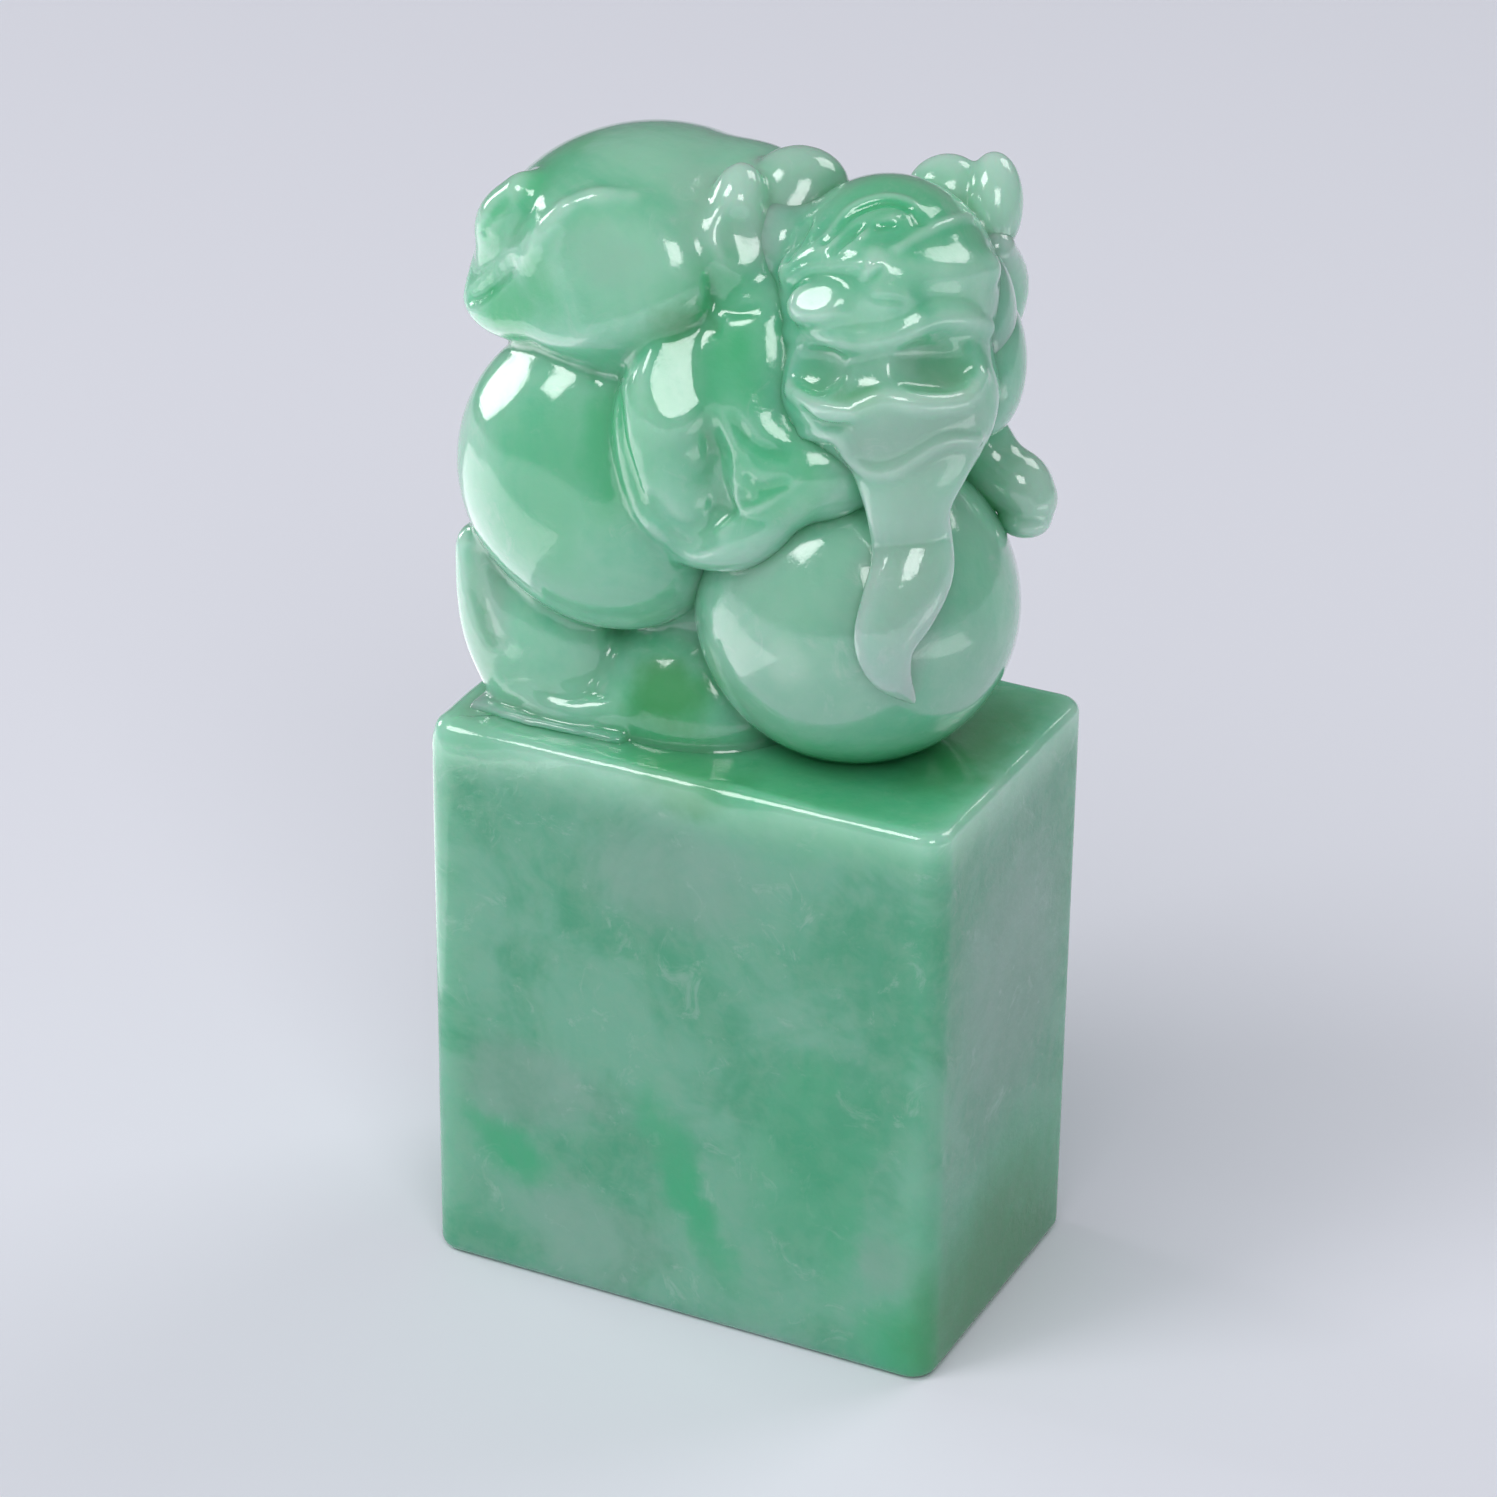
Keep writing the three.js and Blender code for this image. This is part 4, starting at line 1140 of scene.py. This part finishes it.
vivid_and_painted_light = clouds([
    (1.0, (0.7, -6.4, 6.4), (1.7, 3.5, 6.2), (0, -24, 0)),
    (0.6, (5.6, -6.4, 8.4), (4.4, 3.5, 6.4)),
    (1.0, (-6.9, -6.4, 5.5), (3.3, 3.5, 1.8), (0, 35, 0)),
    (0.7, (5.8, -6.4, 12), (2.4, 3.5, 2.4)),
    (0.6, (7.6, -6.4, 7.5), (1.7, 3.5, 7), (0, 8, 0)),
    # Painted shade: darker green low on the block's front right corner.
    (0.9, (9.8, -5.8, 1), (3.2, 4, 3.4)),
    # Painted shade: darker green low on the block's right end.
    (1.0, (10.8, 0.5, 2.2), (4, 11, 8.5), (-8, 0, 0)),
    # Painted light: deeper green in the valley of the collar.
    (0.8, (2.6, -4.6, 37), (3, 3, 3)),
    (0.5, tuple(on_face(-2.5, -1.9, 2.6)), (1.5, 1.5, 1.2)),
    (0.9, (-0.2, -4.2, 42.6), (2, 3, 2.6)),
    # Painted light: deeper green and shade in the valley where the ball meets the block's top.
    (0.7, (5.5, -4.4, 23.6), (8, 4, 3)),
    # Painted light: deeper green in the recess under the haunch, where light comes through more
    # stone.
    (0.9, (-2.2, -3.2, 24.4), (4, 3.5, 3)),
    # Painted light: deeper green and shade in the valley where the ball meets the block's top.
    (0.8, (8.2, 1.5, 23.6), (3.5, 6, 3)),
    (0.9, (5.4, 0, 46.2), (4.2, 4.6, 3)),
    (0.8, (-8.2, -1.6, 45.2), (2.6, 5, 3)),
    (0.9, (-6.3, -4.6, 42.3), (1.9, 3, 3)),
    (1.0, (-8.2, -4.6, 40.7), (3, 3, 1.6)),
    (0.7, (-9.5, -3.5, 43.5), (1.8, 3, 2.2)),
    # Painted light: deeper green in the recess between the back and the arm.
    (0.8, (-2, -3.4, 40.6), (3.2, 3, 2.3)),
    # Painted light: deeper green in the valley of the collar.
    (0.9, (1.0, -3.6, 39.4), (2.2, 4, 5)),
    # Painted shade: deeper green in the valley between the neck and the ball.
    (1.0, (3.2, -3, 36), (3.2, 3.5, 2.4)),
    (0.8, (-3, -5, 36.4), (3, 4, 5)),
    (0.5, (-5.6, -6, 34.6), (3.4, 4, 5)),
])
icy = clouds([
    (1.0, (8.3, -4.4, 38.6), (4.6, 4, 3.2)),
    (0.6, (6.9, -5, 40.3), (3.6, 3, 2)),
    (1.0, (8.1, -4.8, 33), (2.6, 3, 7)),
    (1.0, (-0.6, -2, 45), (3.2, 3.4, 3)),
    (1.0, (1.2, 0.4, 46), (3.4, 3.4, 2.8)),
    (1.0, tuple(on_face(3.2, 5, -1.5)), (5, 4.4, 4.4)),
    (0.7, (4.5, -4, 29.5), (7, 6, 6)),
    (0.9, (9.6, 3.4, 33.5), (3, 3.6, 4)),
    (0.9, (-9.9, -4.4, 28.4), (2.2, 4, 6.4)),
    (0.6, (-3.6, -5, 43.7), (2.6, 2.4, 1.2), (0, 20, 0)),
    (0.7, (-6.2, -6.2, 8.8), (5, 4, 2.6)),
    (0.6, (-3.4, -6.4, 2.6), (5, 4, 3)),
    (0.7, (-0.5, -6.4, 20), (6, 4, 3.6)),
    (0.7, (9.6, -6.4, 4.8), (1.8, 3, 2)),
    (0.8, (10.8, 0.5, 15), (3, 7, 9)),
    (0.6, (3.4, -5, 27.5), (6, 4, 4)),
    (0.5, (9.6, -2.4, 28.4), (3, 4, 4)),
])
moss_and_painted_light = clouds([
    # Painted light: deeper green in the recess under the haunch, where light comes through more
    # stone.
    (1.0, (-1.6, -4.4, 26.2), (2.6, 3, 2.8)),
    # Painted light: deeper green and shade in the valley in front of the ball's foot.
    (0.6, (0, -5.6, 23.8), (4, 3, 1.6)),
    # Painted light: deeper green and shade in the valley where the ball meets the block's top.
    (0.9, (8.5, 0.5, 23.8), (3, 6, 2)),
    # Painted light: deeper green in the recess between the back and the arm.
    (0.8, (-1.2, -3.8, 41.4), (1.6, 2.4, 1.2)),
    # Painted shade: darker green low on the block's right end.
    (1.0, (11, -0.5, 1), (3, 10, 7), (-8, 0, 0)),
    (0.4, tuple(on_face(1.7, -2, 3.4)), (2, 1.9, 1.4)),
    (0.5, (6.4, -5.6, 40.2), (1.4, 2, 0.7)),
])
mint = clouds([
    (1.0, tuple(on_face(2.4, 1.2, 3.2)), (2.6, 1.9, 2.4)),
    (0.9, tuple(on_face(-0.6, -0.5, 3.8)), (4.4, 1.1, 2)),
    (0.8, (-3.2, -4.8, 43.4), (5, 3, 2.8)),
    (0.7, (-2.5, 0, 46), (5.5, 5, 2.5)),
    (0.9, (-0.4, -2, 45.4), (3.4, 3.4, 3)),
    (1.0, tuple(on_face(3.2, 5, -1.5)), (5, 4.4, 4.4)),
])
print("nodes with all clouds:", len(jade.tree.nodes))

# %% [markdown]
# Between the clouds the stone is never even. Three noises give broad drifts, fine mottling and
# cottony wisps. The attributes of the map then say where the stone is thin, lies in a valley or
# comes to a rim, and the height says whether a place belongs to the block or to the knop.

# %% Drifts, wisps and thickness
broad = jade.ramp(noise(0.16, 4.0, 0.6, 0.6), 0.36, 0.64)
fine = jade.ramp(noise(0.9, 5.0, 0.65, 0.4), 0.35, 0.68)
cotton = jade.ramp(noise(0.55, 6.0, 0.7, 1.2), 0.56, 0.72)
deep = jade.node("ShaderNodeAttribute", {"attribute_name": "deep"}, output="Fac")
edge = jade.node("ShaderNodeAttribute", {"attribute_name": "edge"}, output="Fac")
valley = jade.ramp(deep, 0.58, 0.86)
thin = 1 - jade.ramp(deep, 0.16, 0.44)
rim = 1 - jade.ramp(edge, 0.34, 0.5)
crease = jade.ramp(edge, 0.55, 0.75)
height = jade.node("ShaderNodeSeparateXYZ", {}, place, output="Z")
BLOCK_FADE = (DECK - 2.5, DECK + 0.5)
in_block = 1 - jade.ramp(height, *BLOCK_FADE)
in_knop = 1 - in_block
print("the block's colours fade out, mm:", BLOCK_FADE)

# %% [markdown]
# The colours are laid over each other like washes, from the ground colour to the palest rims. The
# knop is thinner and clearer than the block, so several washes have one colour for each. The last
# four washes are painted light: a deeper green and painted shade in valleys and creases, and a
# painted pale glow on thin places and rims, where light comes through the stone.

# %% Colours of the stone
def wash(share, under, knop_colour, block_colour=None):
    """Lays a colour over the stone by a share. Knop and block may have a colour of their own."""
    over = colour(*knop_colour)
    if block_colour:
        over = jade.mix(in_block, over, colour(*block_colour))
    return jade.mix(share, under, over)


stone = jade.mix(in_block, jade.mix(broad, colour(98, 189, 150), colour(136, 201, 170)),
                 jade.mix(broad, colour(66, 160, 121), colour(112, 178, 150)))
for share, *colours in ((fine * 0.3, (140, 200, 168), (132, 180, 154)),
                        (icy * 0.7, (152, 183, 168), (140, 170, 158)),
                        (cotton * 0.3, (176, 202, 190)),
                        (vivid_and_painted_light * (0.5 + broad * 0.4), (54, 180, 118), (38, 172, 118)),
                        (mint * 0.6, (164, 216, 190)),
                        (moss_and_painted_light * 0.85, (54, 150, 80), (34, 132, 68)),
                        # Painted light: deeper green and shade in valleys and creases, pale glow on
                        # thin places and rims.
                        (valley * 0.35, (70, 174, 118)),
                        (crease * 0.2, (66, 160, 108)),
                        (thin * in_knop * 0.5, (182, 214, 198)),
                        (rim * in_knop * 0.35, (200, 226, 210))):
    stone = wash(share, stone, *colours)
jade.feed(jade.shader.inputs["Base Color"], stone)
print("nodes with the colours:", len(jade.tree.nodes))

# %% [markdown]
# The knop has a full polish, which a coat over the stone gives: a sharp reflection above a softer
# one. The block is rubbed and duller, and so has little coat. Light that enters the stone travels
# a few millimetres, green the farthest, which is subsurface scattering. A faint bump breaks the
# reflections up a little, as the grain of the crystals does.

# %% Polish and depth of the jade
GRAIN_HEIGHT = 0.1 * MM
BLOCK_COAT, KNOP_COAT = 0.12, 0.92
grain = jade.node("ShaderNodeBump", {}, Strength=0.5, Distance=GRAIN_HEIGHT,
                  Height=noise(0.7, 5.0, 0.6))
jade.feed(jade.shader.inputs["Normal"], grain)
jade.feed(jade.shader.inputs["Roughness"], 0.07 + noise(0.7) * 0.08)
jade.feed(jade.shader.inputs["Coat Weight"], BLOCK_COAT + in_knop * (KNOP_COAT - BLOCK_COAT))
FINISH = {"IOR": 1.66, "Coat IOR": 1.6, "Coat Roughness": 0.04, "Subsurface Weight": 0.65,
          "Subsurface Radius": (0.4, 1.0, 0.68), "Subsurface Scale": 4.5 * MM}
for name, value in FINISH.items():
    jade.shader.inputs[name].default_value = value
for made in made_pieces:
    made.data.materials.append(jade.material)
print("jade on", len(made_pieces), "pieces")

# %% [markdown]
# The seal stands on a plain pale sheet. A broad lamp, which reflections don't show, gives the even
# studio light. A polished stone is drawn by what it mirrors, so four small lamps are placed where
# their reflections make the highlights, and two faintly glowing cards lie on the sheet and give the
# pale patches on the lower halves of the round forms.

# %% Floor
def make_floor(half=1.5):
    """One square that reaches half a side to each way from the origin, in metres."""
    mesh = bpy.data.meshes.new("floor")
    corners = [(-half, -half, 0), (half, -half, 0), (half, half, 0), (-half, half, 0)]
    mesh.from_pydata(corners, [], [(0, 1, 2, 3)])
    floor = bpy.data.objects.new("floor", mesh)
    bpy.context.scene.collection.objects.link(floor)
    paper = Paint("pale_floor")
    paper.feed(paper.shader.inputs["Base Color"], colour(238, 238, 248))
    paper.feed(paper.shader.inputs["Roughness"], 0.8)
    mesh.materials.append(paper.material)
    print("floor, m:", 2 * half, "square")


make_floor()

# %% [markdown]
# The lamps are area lights on a sphere round the seal. Each is given by how bright its face is, and
# its power follows from that and its area, so a lamp can be made larger or moved and its reflection
# stays as bright.

# %% Lamps
LAMP_TARGET = Vector((0, 0, 30)) * MM
WORLD_COLOUR, WORLD_STRENGTH = (0.9, 0.95, 1, 1), 0.22


def softbox(name, azimuth, elevation, distance, width, height, radiance, seen=True):
    """An area lamp in metres and degrees, aimed at the seal. Its power is radiance pi area."""
    a, e = math.radians(azimuth), math.radians(elevation)
    way = Vector((math.sin(a) * math.cos(e), -math.cos(a) * math.cos(e), math.sin(e)))
    data = bpy.data.lights.new(name, "AREA")
    data.shape, data.size, data.size_y = "RECTANGLE", width, height
    data.energy = radiance * math.pi * width * height
    lamp = bpy.data.objects.new(name, data)
    lamp.matrix_world = (Matrix.Translation(LAMP_TARGET + way * distance)
                         @ way.to_track_quat("Z", "Y").to_matrix().to_4x4())
    lamp.visible_glossy = seen
    bpy.context.scene.collection.objects.link(lamp)


def bounce_card(name, middle, size, radiance):
    """A glowing card on the sheet, face up, in millimetres, which the camera does not see. Its
    power is radiance pi area."""
    data = bpy.data.lights.new(name, "AREA")
    data.shape, data.size, data.size_y = "RECTANGLE", size[0] * MM, size[1] * MM
    data.energy = radiance * math.pi * data.size * data.size_y
    card = bpy.data.objects.new(name, data)
    card.location = Vector((*middle, 0.5)) * MM
    card.rotation_euler = (math.pi, 0, 0)
    card.visible_camera = False
    bpy.context.scene.collection.objects.link(card)


softbox("fill_lamp", -8, 50, 1.0, 1.0, 1.0, 1.5, seen=False)
softbox("key_lamp", -40, 50, 0.6, 0.2, 0.2, 5)
softbox("window_lamp", 40, 38, 0.6, 0.2, 0.22, 4)
softbox("side_lamp", -94, 16, 0.6, 0.2, 0.2, 4.5)
softbox("far_lamp", 150, 45, 0.6, 0.26, 0.3, 2.4)
bounce_card("left_bounce", (-95, -20), (130, 90), 0.95)
bounce_card("right_bounce", (130, -10), (90, 80), 0.9)
world = bpy.data.worlds.new("studio")
world.use_nodes = True
world.node_tree.nodes["Background"].inputs["Color"].default_value = WORLD_COLOUR
world.node_tree.nodes["Background"].inputs["Strength"].default_value = WORLD_STRENGTH
bpy.context.scene.world = world
bpy.context.scene.view_settings.view_transform = "Standard"
print("lamps and cards:", len(bpy.data.lights))
